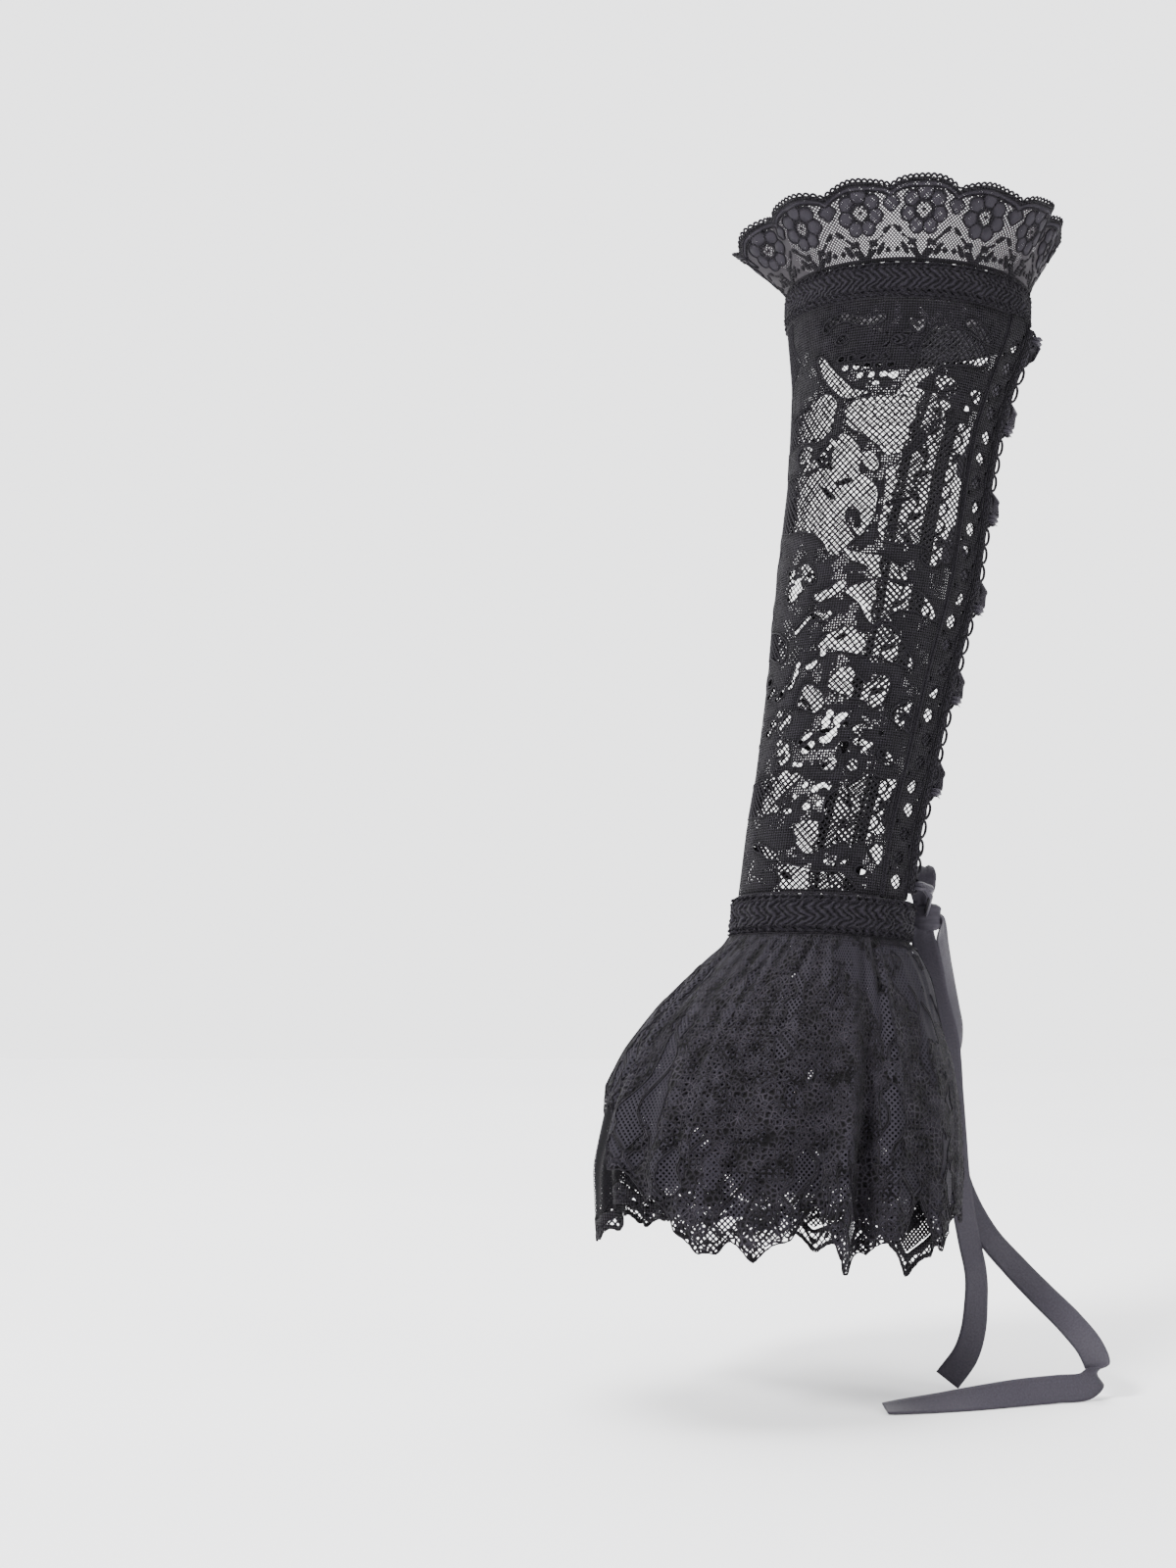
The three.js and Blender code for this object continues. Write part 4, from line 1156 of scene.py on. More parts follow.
@dataclass
class SleeveLace(Part):
    """The lace tube: dense flowers and leaves around windows of net."""

    wall: float = 0.6
    top: float = -6.3
    bottom: float = -215.95
    tape: float = 2
    placket: float = 12
    net_pitch: float = 1.65
    net_radius: float = 0.36
    back_radius: float = 0.2
    # where the front net gives way to the finer one of the back
    net_change: float = -68
    # windows of net, as steps between their corners in tenths of a millimetre
    windows: str = """
27,-226 54,79 70,-26 48,-3 38,-17 75,-44 -31,-34 -100,-13 -67,-12 -38,-29 -37,-30 -20,-43 -40,-8 -10,21
26,28 17,35 14,42; -204,-438 45,16 71,10 52,-1 63,-8 43,-4 46,-13 38,-19 -12,-22 -36,-9 -29,-34 -30,-44
-33,-44 -40,-8 -27,0 -24,32 -37,22 -38,23 -37,35 -17,37; 159,-488 62,8 55,-10 63,-9 9,-58 -8,-51 14,-46
-7,-62 -27,-63 -12,-63 -21,-71 -32,-56 -31,-12 -33,19 -60,31 -37,-1 -33,4 -47,-9 -44,23 -1,66 9,66
-11,56 -2,45 38,22 27,33 53,56 45,54; -212,-534 56,-31 33,-44 -5,-41 0,-25 32,-33 36,-18 10,-56 2,-42
-16,-35 -16,-34 -31,-27 -27,-34 -40,-22 -23,9 -14,44 -36,29 -67,24 -65,7 -138,24 -114,36 5,142 150,11
160,-24 59,31 30,45 10,40; -122,-612 20,6 33,-22 12,-42 -22,-10 -31,25; -407,-424 48,24 63,18 49,-33
1,-48 -5,-48 -25,-31 -44,-13 -39,15 -60,9 -101,-15 -91,44 51,63; -360,-243 24,-5 45,-52 59,-51 48,-34
63,-12 26,6 -43,-12 -55,-12 -41,16 -55,47 -59,63; -369,-647 64,-2 41,24 30,48 4,31 -16,-1 -15,-36
-39,-35 -60,-9; -411,-566 61,7 23,-12 -4,-34 -43,-12 -39,23; -291,-206 17,21 28,-1 11,-22 -33,-12;
-350,-164 6,36 29,11 59,11 48,-27 47,-8 44,18 8,-18 -43,-21 -62,9 -51,24 -47,-16 -19,-27; -31,-135
26,-24 33,19 -6,-35 -10,-21 -31,20; 90,-341 42,12 51,-20 -30,-29 -49,1; 38,-386 34,-12 36,-3 30,-17
43,-14 -20,-20 -47,21 -55,8 -37,8 -19,10; 172,-129 53,2 49,-31 34,-33 -40,-2 -50,24 -35,18; 243,-362
48,4 27,-29 -38,-22 -26,22; -141,-954 64,-19 49,-7 49,-16 54,-35 24,-32 -51,6 -59,4 -25,7 -23,41 -49,8
-26,11; 125,-974 44,23 36,-23 -9,-25 -52,-1; -118,-1104 32,17 71,21 80,-7 54,-19 64,-27 67,-73 -77,23
-55,8 -44,-1 -48,-41 -13,-24 -36,30 -33,54 -39,28; -315,-994 51,-7 38,-50 -15,-23 -49,31; -230,-1109
51,9 32,25 26,9 4,-21 -41,-29 -32,-21 -32,9; -182,-1279 42,28 58,26 38,-24 32,-10 37,22 35,19 29,-22
35,-51 51,-56 -21,-16 -37,13 -34,7 -42,18 -46,-9 -44,16 -41,4 -48,15 -23,-13; -293,-1236 26,27 25,21
21,16 25,-10 26,-2 19,13 10,-14 -22,-16 -34,2 -24,6 -20,-19 -18,-18 -18,-15; -117,-1413 37,40 35,-3
30,-37 34,-23 35,36 31,6 12,-27 -7,-42 -27,-43 -22,-11 -13,33 -48,2 -44,20 -51,18; -209,-1432 35,-3
41,-26 16,-31 -21,-41 -36,19 -48,11 13,33; 144,-1488 55,10 38,-40 -6,-35 -26,-28 -47,22 -42,20 10,25;
114,-1646 30,-21 16,-19 -20,-19 -30,18 -14,19; -91,-1719 28,34 24,-20 -8,-27 -28,-1; -8,-1725 21,35
23,-16 -12,-28; -342,-1752 50,1 73,0 51,14 15,-18 -31,-30 -28,-29 -29,-32 -14,-30 -31,-11 -81,10 -132,8
-7,99; -54,-1849 28,45 52,26 33,26 32,12 57,-19 44,5 63,-16 12,-33 -22,-34 -6,-49 -8,-49 -42,5 -47,-15
-41,-27 -37,-16 -27,19 -44,-22 -31,-21 -52,-15 -37,42 -16,41 10,31 47,6 37,-17 12,28; 128,-1983 47,4
38,-44 8,-47 -34,14 -31,17 -28,32; -188,-2072 28,16 77,-25 58,-13 53,12 42,-31 41,-39 -68,3 -32,16
-52,-19 -46,-7 -58,-7 -29,25 14,30; -322,-1980 68,-13 59,-31 11,-21 -41,9 -67,32; -538,-1211 118,-5
95,-36 16,-65 -28,-23 -103,50 -100,-10
    """
    # middle, half width and half height of each open hole, in tenths of a millimetre
    holes: str = """
-54,-214,27,15 -30,-193,14,10 -13,-234,10,14 -2,-257,10,10 -95,-230,14,10 237,-429,20,11 -131,-181,10,7
-102,-192,10,7 -53,-340,17,14 -351,-1019,23,15 -350,-1047,17,11 -312,-1054,20,14 -340,-1083,22,18
-300,-1083,19,14 -328,-1110,31,13 -155,-1322,13,12 -179,-1352,11,10 -198,-1367,19,10 -245,-1356,13,11
-248,-1383,13,14 -255,-1410,11,11 -264,-1430,14,11 -297,-1450,15,14 -92,-1534,15,14 -43,-1544,22,14
-101,-1565,17,17 -64,-1558,14,14 -102,-1595,17,10 -70,-1603,17,14 -57,-1579,10,7 -93,-1626,24,14
-32,-1571,10,9 1,-1584,17,10 23,-1631,22,14 -26,-1643,20,14 59,-1640,17,12 46,-1664,12,10
-22,-1667,10,10 -294,-1523,20,14 -319,-1554,23,14 -251,-1549,20,18 -272,-1574,16,12 -341,-1586,20,15
-269,-1630,19,12 -234,-1647,15,14 -261,-1662,18,14 -224,-1675,14,14 -240,-1698,25,11 -189,-1709,11,10
-166,-1713,11,9 -223,-1737,20,9 -149,-1608,11,9 -166,-1617,15,9 -181,-1634,11,10 -139,-1642,14,14
-157,-1662,18,14 97,-1596,11,10 -133,-1783,12,14 -95,-1798,15,15 -71,-1784,14,10 -45,-1794,10,10
-164,-1823,9,10 -113,-1859,16,14 -71,-1849,10,10 -178,-1874,19,10 -228,-1864,13,14 -17,-2049,10,8
12,-2062,8,8 44,-2050,17,8 107,-2074,22,17 -395,-1396,24,15 -356,-1431,18,15 -381,-1451,22,11
-320,-1468,17,9
    """
    # start, end and width of each leaf that lies on the net
    leaves: tuple = (
        ("-24,-799 97,29", 1.8), ("-147,-807 48,-72", 4.6), ("-12,-890 76,25", 2.9),
        ("-125,-675 76,-30", 2.1), ("-48,-660 93,52", 2.9), ("-21,-2012 89,18", 2.9))
    stems: tuple = (
        ("-156,-540 42,-28 38,-25 20,-25 7,-35 8,-38 4,-53 -4,-49 0,-55 -21,-49 -20,-35", 1.6),
        ("39,-615 44,45 34,80", 0.7), ("-101,-917 -24,29 -23,36", 0.9))
    rosette_outline: str = ("-319,-241 45,9 54,6 65,-24 60,20 35,-28 28,-44 11,-45 -25,-28 -63,-12 "
                            "-81,30 -75,52 -46,42")
    rosette_pitch: tuple[float, float] = (4.1, 3.3)
    front_edge: float = -47
    growth: float = 0.4

    def edges(self, z: Array) -> tuple[Array, Array]:
        """Arc lengths of the two long edges, beside the plackets."""
        off = self.tape + self.placket + 0.3
        near = FOREARM.step(z, FOREARM.seam(Side.NEAR, z), -off)
        far = FOREARM.step(z, FOREARM.seam(Side.FAR, z), off) - 360
        return FOREARM.arc_to(far, z), FOREARM.arc_to(near, z)

    def back(self, chart: LaceChart) -> None:
        """Plain net behind the arm with a wavy border and a few sprays."""
        left, _ = self.edges(chart.along)
        border = left[:, None] + 1.6 + 1.6 * np.abs(np.sin(np.pi * chart.y / 9.0))
        side = self.front_edge - 9.0 * np.abs(np.sin(np.pi * chart.y / 23.0)) - chart.x
        open_net = np.minimum(chart.x - border, side)
        chart.cloth = np.where(open_net > -6, np.minimum(chart.cloth, -open_net), chart.cloth)
        chart.net |= open_net > 0
        for number, z in enumerate(np.arange(self.bottom + 14, self.top - 8, 24.0)):
            middle = float(np.interp(z, chart.along, left)) * 0.5 + self.front_edge * 0.5
            x = middle + (11 if number % 2 else -9)
            chart.stroke([(x - 4, z - 12), (x, z - 5), (x - 1, z + 4), (x + 4, z + 11)], 0.9)
            chart.flower(x + 4.5, z + 11, 4.6, 6, number)
            chart.leaf((x, z - 4), (x + 7, z), 2.8)
            chart.leaf((x - 1, z + 2), (x - 8, z + 5), 2.6)
            chart.leaf((x - 3, z - 10), (x - 9, z - 6), 2.4)

    def chart(self) -> LaceChart:
        """Draws the whole pattern, front and back."""
        chart = LaceChart((-152, self.bottom), (42, self.top))
        for text in self.windows.split(";"):
            chart.window(charted(text))
        self.back(chart)
        chart.cloth -= self.growth
        chart.ragged(0.32, 2.4, 5)
        self.rosette(chart)
        for x, y, rx, ry in table(self.holes) / 10:
            chart.hole(x, y, rx + 0.1, ry + 0.15)
        for text, width in self.stems:
            chart.stroke(charted(text), width)
        for text, width in self.leaves:
            chart.leaf(*charted(text), width)
        left, right = self.edges(chart.along)
        inside = np.minimum(chart.x - left[:, None], right[:, None] - chart.x)
        ends = np.minimum(self.top - chart.y, chart.y - self.bottom) + 0.01
        edge = np.minimum(inside, ends)
        chart.cloth = np.minimum(np.maximum(chart.cloth, 1.2 - edge), edge)
        chart.net &= edge > 0
        return chart

    def rosette(self, chart: LaceChart) -> None:
        """Coarse openwork inside an outline with a rim."""
        outline = rounded(charted(self.rosette_outline))
        across, down = self.rosette_pitch
        low, high = outline.min(0), outline.max(0)
        box, best, inside = chart.distance(outline, True)
        chart.cloth[box] = np.where(inside, 1.0, chart.cloth[box])
        reach = np.full(chart.x.shape, -1.0)
        reach[box] = np.where(inside, best, -best)
        for row, y in enumerate(np.arange(low[1] + 1.4, high[1], down)):
            for x in np.arange(low[0] + (row % 2) * across / 2, high[0], across):
                if chart.read(reach, x, y) > 1.1:
                    chart.hole(x, y, across * 0.4, down * 0.4)
        chart.stroke(np.concatenate([outline, outline[:1]]), 1.3)

    def build(self) -> None:
        """Makes the clothwork, its outline cords and the net."""
        chart = self.chart()
        outlines = chart.outlines(1.0)
        patch = chart.solid(FOREARM.cloth, outlines, 3.0, self.wall)
        lace = make_mesh("sleeve_clothwork", patch, self.wardrobe.clothwork)
        rest = [self.rims("sleeve_outline_cord", FOREARM.cloth, outlines, 0.3, 0.34, 8)]
        for name, side, radius in (("sleeve_net_front", 1, self.net_radius),
                                   ("sleeve_net_back", -1, self.back_radius)):
            chains = chart.strands(FOREARM.cloth, self.net_pitch,
                                   lambda x, y: (x > self.net_change) == (side > 0))
            rest.append(self.cord(name, chains, radius, 3))
        finish_piece(lace, Slot.LACE, "sleeve_lace")
        flat = (float(np.ptp(patch.uv[:, 0])) / 100, (self.top - self.bottom) / 1000)
        patch.area(flat)


@dataclass
class LacingEdges(Part):
    """The plackets, their tapes and the crescent loops."""

    top: float = -6.3
    bottom: float = -215.95
    base: float = 2
    width: float = 12
    wall: float = 1.0
    pitch: float = 6.6
    count: int = 31
    first: float = -12
    reach: float = 3.4
    thread: float = 0.52
    net_pitch: float = 1.65
    oval_pitch: float = 8.4
    # half width and half height of the net ovals of the near placket
    oval: tuple[float, float] = (2.5, 2.7)

    def place(self, side: Side) -> Place:
        """The surface beside a seam: distance from it away from the gap, height and distance off."""
        return lambda away, z, off: FOREARM.point(
            FOREARM.step(z, FOREARM.seam(side, z), -side.value * away), z, off)

    def placket_chart(self, side: Side, start: float, end: float) -> LaceChart:
        """A strip with a row of net ovals, or with a vine on net, inside a firm edge."""
        chart = LaceChart((start - 1, self.bottom - 1), (end + 1, self.top + 1))
        middle = (start + end) / 2
        height = self.top - self.bottom
        chart.window(oval(middle, (self.bottom + self.top) / 2, end, height), side is Side.FAR)
        if side is Side.NEAR:
            chart.cloth = np.abs(chart.cloth)
        for number, z in enumerate(np.arange(self.bottom + 6, self.top - 5, self.oval_pitch)):
            way = (-1) ** number
            if side is Side.NEAR:
                chart.window(oval(middle + 0.8 * math.sin(number * 1.9), z, *self.oval))
                chart.hole(middle + 3.6 * way, z + self.oval_pitch / 2, 0.8, 1.0)
            else:
                chart.leaf((middle - 1.4 * way, z - 1.6), (middle + 3.4 * way, z + 1.8), 2.2)
                chart.stroke([(middle - 1.2 * way, z - 4.2), (middle - 1.6 * way, z - 1.6),
                              (middle + 1.2 * way, z + 4.2)], 0.7)
        inside = np.minimum.reduce([chart.x - start, end - chart.x,
                                    self.top - chart.y, chart.y - self.bottom])
        chart.cloth = np.minimum(np.maximum(chart.cloth, 1.3 - inside), inside)
        return chart

    def placket(self, side: Side, name: str) -> None:
        """A strip of lace with scalloped cords."""
        start, end, place = self.base + 0.3, self.base + self.width, self.place(side)
        chart = self.placket_chart(side, start, end)
        patch = chart.solid(place, chart.outlines(1.1), 2.6, self.wall)
        lace = make_mesh(name + "_lace", patch, self.wardrobe.close_lace)
        z = np.arange(self.bottom + 0.8, self.top - 0.6, 0.8)
        swing = 0.5 * np.sin(2 * np.pi * z / self.oval_pitch)
        lines = [place(row, z, np.full_like(z, self.wall / 2 + 0.1))
                 for row in (start + 0.7 + 0 * z, end - 0.7 + 0 * z, start + 1.8 + swing)]
        cord = self.cord(name + "_cords", lines + chart.strands(place, self.net_pitch), 0.3, 4)
        finish_piece(lace, Slot.LACE, name)
        flat = (self.width / 1000, (self.top - self.bottom) / 1000)
        patch.area(flat)

    def loop_tape(self, side: Side, name: str) -> None:
        """A narrow tape and its row of crescent loops."""
        place = self.place(side)
        start = self.first + self.pitch / 2
        z = np.linspace(start, start - self.count * self.pitch, self.count * 6 + 1)
        across, along = np.meshgrid(np.linspace(-0.7, self.base, 4), z)
        self.cloth(name + "_tape", shell(place, across, along, 0.9, False), self.wardrobe.band, name)
        share = np.linspace(0, 1, 13)
        out = -self.reach * np.sin(np.pi * share) ** 0.75
        height = (self.pitch / 2 - 0.25) * np.cos(np.pi * share)
        loops = [place(out, self.first - number * self.pitch + height, np.zeros_like(share))
                 for number in range(self.count)]
        self.cord(name + "_loops", loops, self.thread, 6)
        self.cord(name + "_ridges", [place(np.full_like(z, x), z, np.full_like(z, 0.4))
                                     for x in (-0.4, 0.7, 1.7)], 0.28, 4)

    def build(self) -> None:
        """Makes both edges of the gap."""
        for side, word in ((Side.NEAR, "near"), (Side.FAR, "far")):
            self.placket(side, "placket_" + word)
            self.loop_tape(side, "loop_tape_" + word)


@dataclass
class Bands(Part):
    """The stretch bands under the frill and at the wrist."""

    rows: tuple = (("top_band", 0.0, 12.0, 2.2, 0.3, 0.3, 0.0),
                   ("wrist_band", -223.0, 13.5, 3.4, 0.5, 0.6, 1.8))
    rib: float = 2.6
    rib_height: float = 0.3
    columns: int = 560

    def ring(self, name: str, centre: float, height: float, wall: float, bulge: float, pucker: float,
             swell: float) -> None:
        """One band, rounded and puckered, with its rows of stitches.

        Args:
            name: The node that it stands for.
            centre: Height of its middle.
            height: Of the band.
            wall: Thickness.
            bulge: How far its middle stands out.
            pucker: Height of its puckers.
            swell: How far it is drawn out where the bow sits.
        """
        radius = FOREARM.arc_per_degree(np.array(centre), np.array(0.0))

        def place(angle: Array, z: Array, off: Array) -> Array:
            """A place of the band in the room."""
            share = np.clip(np.abs(z - centre) / (height / 2), 0, 1)
            crown = bulge * (1 - share**4) - 0.5 * wall * np.clip(share - 0.86, 0, 1) * 2
            turn = np.radians(angle)
            ripple = pucker * (np.sin(54 * turn + 1.5 * np.sin(5 * turn)) * share**2
                               + 0.5 * np.sin(23 * turn + z / 2))
            slant = np.abs(np.mod(z / height * 3, 2) - 1) * height / 3 * 1.2
            sway = 0.9 * np.sin(9 * turn + z / 3) + 0.5 * np.sin(31 * turn - z)
            ribs = self.rib_height * np.sin(2 * np.pi * (radius * angle + slant + sway) / self.rib)
            welt = -0.5 * np.exp(-((share - 0.78) / 0.07) ** 2)
            drawn = swell * np.exp(-(((angle + 192) % 360 - 180) / 24) ** 2)
            relief = crown + ripple + ribs * np.clip(1.6 - 1.6 * share, 0.2, 1) + welt + drawn
            return FOREARM.ring(angle, z, off + np.where(off > 0, relief, 0))

        across, along = np.meshgrid(np.linspace(0, 360, self.columns, endpoint=False),
                                    centre + (np.linspace(0, 1, 23) - 0.5) * height)
        patch = shell(place, across, along, wall)
        patch.uv[:, 0] *= float(radius)
        band = make_mesh(name + "_tape", patch, self.wardrobe.band)
        turns = np.linspace(0, 360, self.columns * 3 + 1)
        swing = 0.3 * np.sin(np.radians(turns) * 108)
        rows = [place(turns, centre + up * height + swing, np.full_like(turns, wall / 2 + 0.1))
                for up in (-0.455, -0.33, 0.33, 0.455)]
        self.cord(name + "_stitches", rows, 0.28, 4, Slot.BAND)
        finish_piece(band, Slot.BAND, name)

    def build(self) -> None:
        """Makes both bands."""
        for row in self.rows:
            self.ring(*row)


@dataclass
class TopFrill(Part):
    """Scalloped edging of tulle with flowers."""

    form: FrillForm = field(default_factory=FrillForm)
    picot: float = 1.9
    scallop_depth: float = 3.6
    # height of the middle of each flower, and from there to the middles of its petals
    flower_at: float = 18.0
    ring: float = 5.9

    def rim(self, u: Array) -> Array:
        """Height of the scalloped rim at a place along the strip."""
        scallop = np.abs(np.sin(np.pi * u / self.form.scallop_pitch)) ** 0.6
        return self.form.height - self.scallop_depth * (1 - scallop)

    def dots(self, chart: LaceChart, x: float, y: float, angles: Array, reach: tuple, radius: float) -> None:
        """Round spots of cloth around a place, at some angles and a reach across and up."""
        for turn in np.radians(angles):
            chart.dot(x + reach[0] * math.cos(turn), y + reach[1] * math.sin(turn), radius)

    def middles(self) -> Array:
        """The middle of each scallop along the strip."""
        return (np.arange(self.form.scallops) + 0.5) * self.form.scallop_pitch

    def petals(self) -> LaceChart:
        """The round petals of every flower, and the buds between."""
        chart = LaceChart((0, 0), (self.form.width, self.form.height + 1), 0.4, dense=False)
        for x in self.middles():
            self.dots(chart, x, self.flower_at, np.arange(7) * 360 / 7 + 90, (self.ring,) * 2, 2.75)
            self.dots(chart, x + 11.75, 20.6, np.arange(4) * 90, (1.5, 1.7), 1.5)
        rim = self.rim(chart.x) - chart.y
        chart.cloth = np.maximum(chart.cloth, np.minimum(rim - 1.2, 3.4 - rim) - 0.4)
        chart.cloth = np.minimum(chart.cloth, rim - 0.6)
        return chart

    def chart(self) -> LaceChart:
        """The close work of one strip: eyes, sprigs, foot and rim."""
        chart = LaceChart((-0.4, 0), (self.form.width + 0.4, self.form.height + 1), 0.35, dense=False)
        for x in self.middles():
            away = np.hypot(chart.x - x, chart.y - self.flower_at)
            chart.cloth = np.maximum(chart.cloth, 0.36 - np.abs(away - 3.0))
            self.dots(chart, x, self.flower_at, np.arange(8) * 45, (2.0, 2.0), 0.42)
            chart.dot(x, self.flower_at, 0.75)
            for turn in np.radians((np.arange(7) + 0.5) * 360 / 7 + 90):
                spoke = np.array([(math.cos(turn), math.sin(turn))]) * np.array([[3.4], [7.4]])
                chart.stroke(spoke + (x, self.flower_at), 0.62)
            for side in (-1, 1):
                for x0, y0, x1, y1, width in ((0.6, 1.8, 5.0, 5.2, 2.4), (2.0, 8.0, 6.0, 6.2, 2.2),
                                              (5.2, 2.6, 8.6, 7.6, 2.3), (8.0, 10.4, 11.4, 13.2, 1.8)):
                    chart.leaf((x + side * x0, y0), (x + side * x1, y1), width)
                chart.dot(x + side * 9.8, 4.6, 1.1)
                chart.stroke([(x, 1.4), (x + side * 3.0, 6.5), (x + side * 8.0, 9.8)], 0.7)
        rim = self.rim(chart.x) - chart.y
        chart.cloth = np.maximum.reduce([chart.cloth, 0.75 - np.abs(rim - 0.95), 0.3 - np.abs(rim - 3.4),
                                         1.0 - np.abs(chart.y - 0.6)])
        chart.cloth = np.minimum(chart.cloth, np.minimum(rim, chart.y + 0.2))
        return chart

    def build(self) -> None:
        """Makes the tulle, the flowers and the picots."""
        place, width = self.form.point, self.form.width
        u = np.linspace(0, width, self.form.scallops * 24, endpoint=False)
        across, along = np.broadcast_arrays(u, np.linspace(0, 1, 15)[:, None] * (self.rim(u) - 0.8))
        tulle = self.cloth("frill_tulle", shell(place, across, along, 0.25), self.wardrobe.tulle, "top_frill")
        petals = self.petals()
        outlines = petals.outlines(0.8)
        lobes = self.cloth("frill_petals", petals.solid(place, outlines, 2.6, 0.6), self.wardrobe.petal)
        edging = self.rims("frill_petal_outlines", place, outlines, 0.35, 0.3)
        chart = self.chart()
        patch = chart.solid(place, chart.outlines(0.8), 2.2, 0.8)
        work = self.cloth("frill_close_work", patch, self.wardrobe.close_lace)
        places = np.arange(0, width, self.picot / 6)
        bead = np.abs(np.sin(np.pi * places / self.picot)) ** 0.8
        rim = place(places, self.rim(places) + bead - 0.3, np.zeros_like(places))
        picots = self.cord("frill_picots", [np.concatenate([rim, rim[:1]])], 0.45, 4)
        width / 1000


@dataclass
class Flounce(Part):
    """The outer lace, the inner net and its edging."""

    form: FlounceForm = field(default_factory=FlounceForm)
    trim_depth: float = 8
    # height and pitch of the teeth of each hem
    outer_teeth: tuple[float, float] = (4.6, 13.0)
    trim_teeth: tuple[float, float] = (2.4, 9.5)

    def hem(self, u: Array, column: int) -> Array:
        """Length of a layer at a place along the hem."""
        return read_fold(self.form.folds, self.form.angle_at(u), column, False)

    def net_layer(self, name: str, out: float, start: Array | float, end: Array, rows: int, wall: float,
                  finish: Material, node: str) -> Thing:
        """Net on a layer from one length to another, all round."""
        u = np.linspace(0, self.form.width, len(end), endpoint=False)
        share = np.linspace(0, 1, rows)[:, None]
        across, along = np.broadcast_arrays(u, -(start + share * (end - start)))
        return self.cloth(name, shell(self.form.layer(out), across, along, wall), finish, node)

    def border(self, x: Array, y: Array, hem: Array, tooth: float, pitch: float) -> Array:
        """Distance inside a hem of uneven pointed teeth with picots."""
        point = 1 - np.abs(2 * np.mod(x / pitch + 0.16 * np.sin(x / 17.0), 1) - 1)
        depth = tooth * (0.75 + 0.25 * np.sin(x / 23.0))
        picot = 0.45 * np.abs(np.sin(np.pi * x / 2.3))
        return hem - depth - 0.45 + depth * point**1.7 + picot + y

    def edge(self, count: int, column: int, teeth: tuple[float, float]) -> tuple[Array, Array]:
        """The plain hem of a layer and its toothed edge, at even places all round."""
        u = np.linspace(0, self.form.width, count, endpoint=False)
        hem = self.hem(u, column)
        return hem, self.border(u, np.zeros_like(u), hem, *teeth)

    def outer_chart(self) -> LaceChart:
        """The pattern of the outer layer: openwork with long windows of net, sprays and a toothed hem."""
        chart = LaceChart((0, -120), (self.form.width, 0), 0.5)
        shape = chart.x.shape
        border = self.border(chart.x, chart.y, self.hem(chart.across, 2)[None, :], *self.outer_teeth)
        long = 1.5 * soft_noise(shape, (26 / 0.5, 11 / 0.5), 21)
        leafy = long + 0.9 * soft_noise(shape, (8 / 0.5, 6 / 0.5), 22) + 0.5 * soft_noise(shape, (5, 5), 24)
        chart.cloth = 2.4 * (leafy + 0.52)
        rng = np.random.default_rng(12)
        for number, x in enumerate(np.arange(8, self.form.width - 6, 23.5)):
            depth = -float(self.hem(np.array([x]), 2)[0])
            chart.window(oval(x + 2, depth + 17 + rng.uniform(-3, 3), 6.0, 8.5))
            chart.flower(x - 8, depth + 17 + rng.uniform(-1, 1), 5.6, 7, number)
            for x0, y0, x1, y1, width in ((3, 4, 11, 14, 3.2), (-3, 4, -8, 11, 2.8),
                                          (-2, 28, 5, 38, 3.4), (4, 40, -3, 50, 3.0)):
                chart.leaf((x + x0, depth + y0), (x + x1, depth + y1), width)
            line = np.array([(x + 6 * math.sin(0.19 * up + number), depth + up) for up in range(6, 84, 4)])
            chart.stroke(line, 1.1)
            chart.stroke(line + (11, 3), 0.8)
        bars = 0.35 - np.abs(np.mod(chart.x, 3.1) - 1.55)
        ladder = np.where((border > 0) & (border < 3.5), bars, -1.0)
        chart.cloth = np.where(border < 3.5, -1.0, chart.cloth)
        chart.cloth = np.maximum.reduce([chart.cloth, 0.75 - np.abs(border - 0.75),
                                         0.4 - np.abs(border - 3.3), ladder, 1.2 - np.abs(chart.y + 1.0)])
        chart.cloth = np.minimum(chart.cloth, np.minimum(border, -chart.y + 0.2))
        return chart

    def trim_chart(self) -> LaceChart:
        """The pattern of the edging: a toothed rim, a wave, dots and a head."""
        chart = LaceChart((0, -120), (self.form.width, -80), 0.45, dense=False)
        hem = self.hem(chart.across, 3)[None, :]
        border = self.border(chart.x, chart.y, hem, *self.trim_teeth)
        wave = 0.8 - np.abs(border - 4.6 - 1.3 * np.sin(2 * np.pi * chart.x / 11.0))
        dots = 1.1 - np.hypot(np.mod(chart.x, 5.5) - 2.75, border - 3.4)
        head = hem + chart.y - self.trim_depth
        chart.cloth = np.maximum.reduce([0.75 - np.abs(border - 0.8), wave, dots, 0.7 - np.abs(head + 0.7)])
        chart.cloth = np.minimum(chart.cloth, np.minimum(border, -head))
        return chart

    def outer(self) -> None:
        """The heavy outer lace."""
        chart, place = self.outer_chart(), self.form.layer(0.5)
        outlines = chart.outlines(1.15)
        lace = self.cloth("flounce_lace", chart.solid(place, outlines, 2.8, 0.6), self.wardrobe.openwork)
        cords = self.rims("flounce_outline_cord", place, outlines, 0.3, 0.3, 9)
        end = self.edge(480, 2, self.outer_teeth)[1] - 1.0
        net = self.net_layer("flounce_outer_net", 0.5, 0.0, end, 26, 0.3, self.wardrobe.outer_net,
                             "flounce_outer")

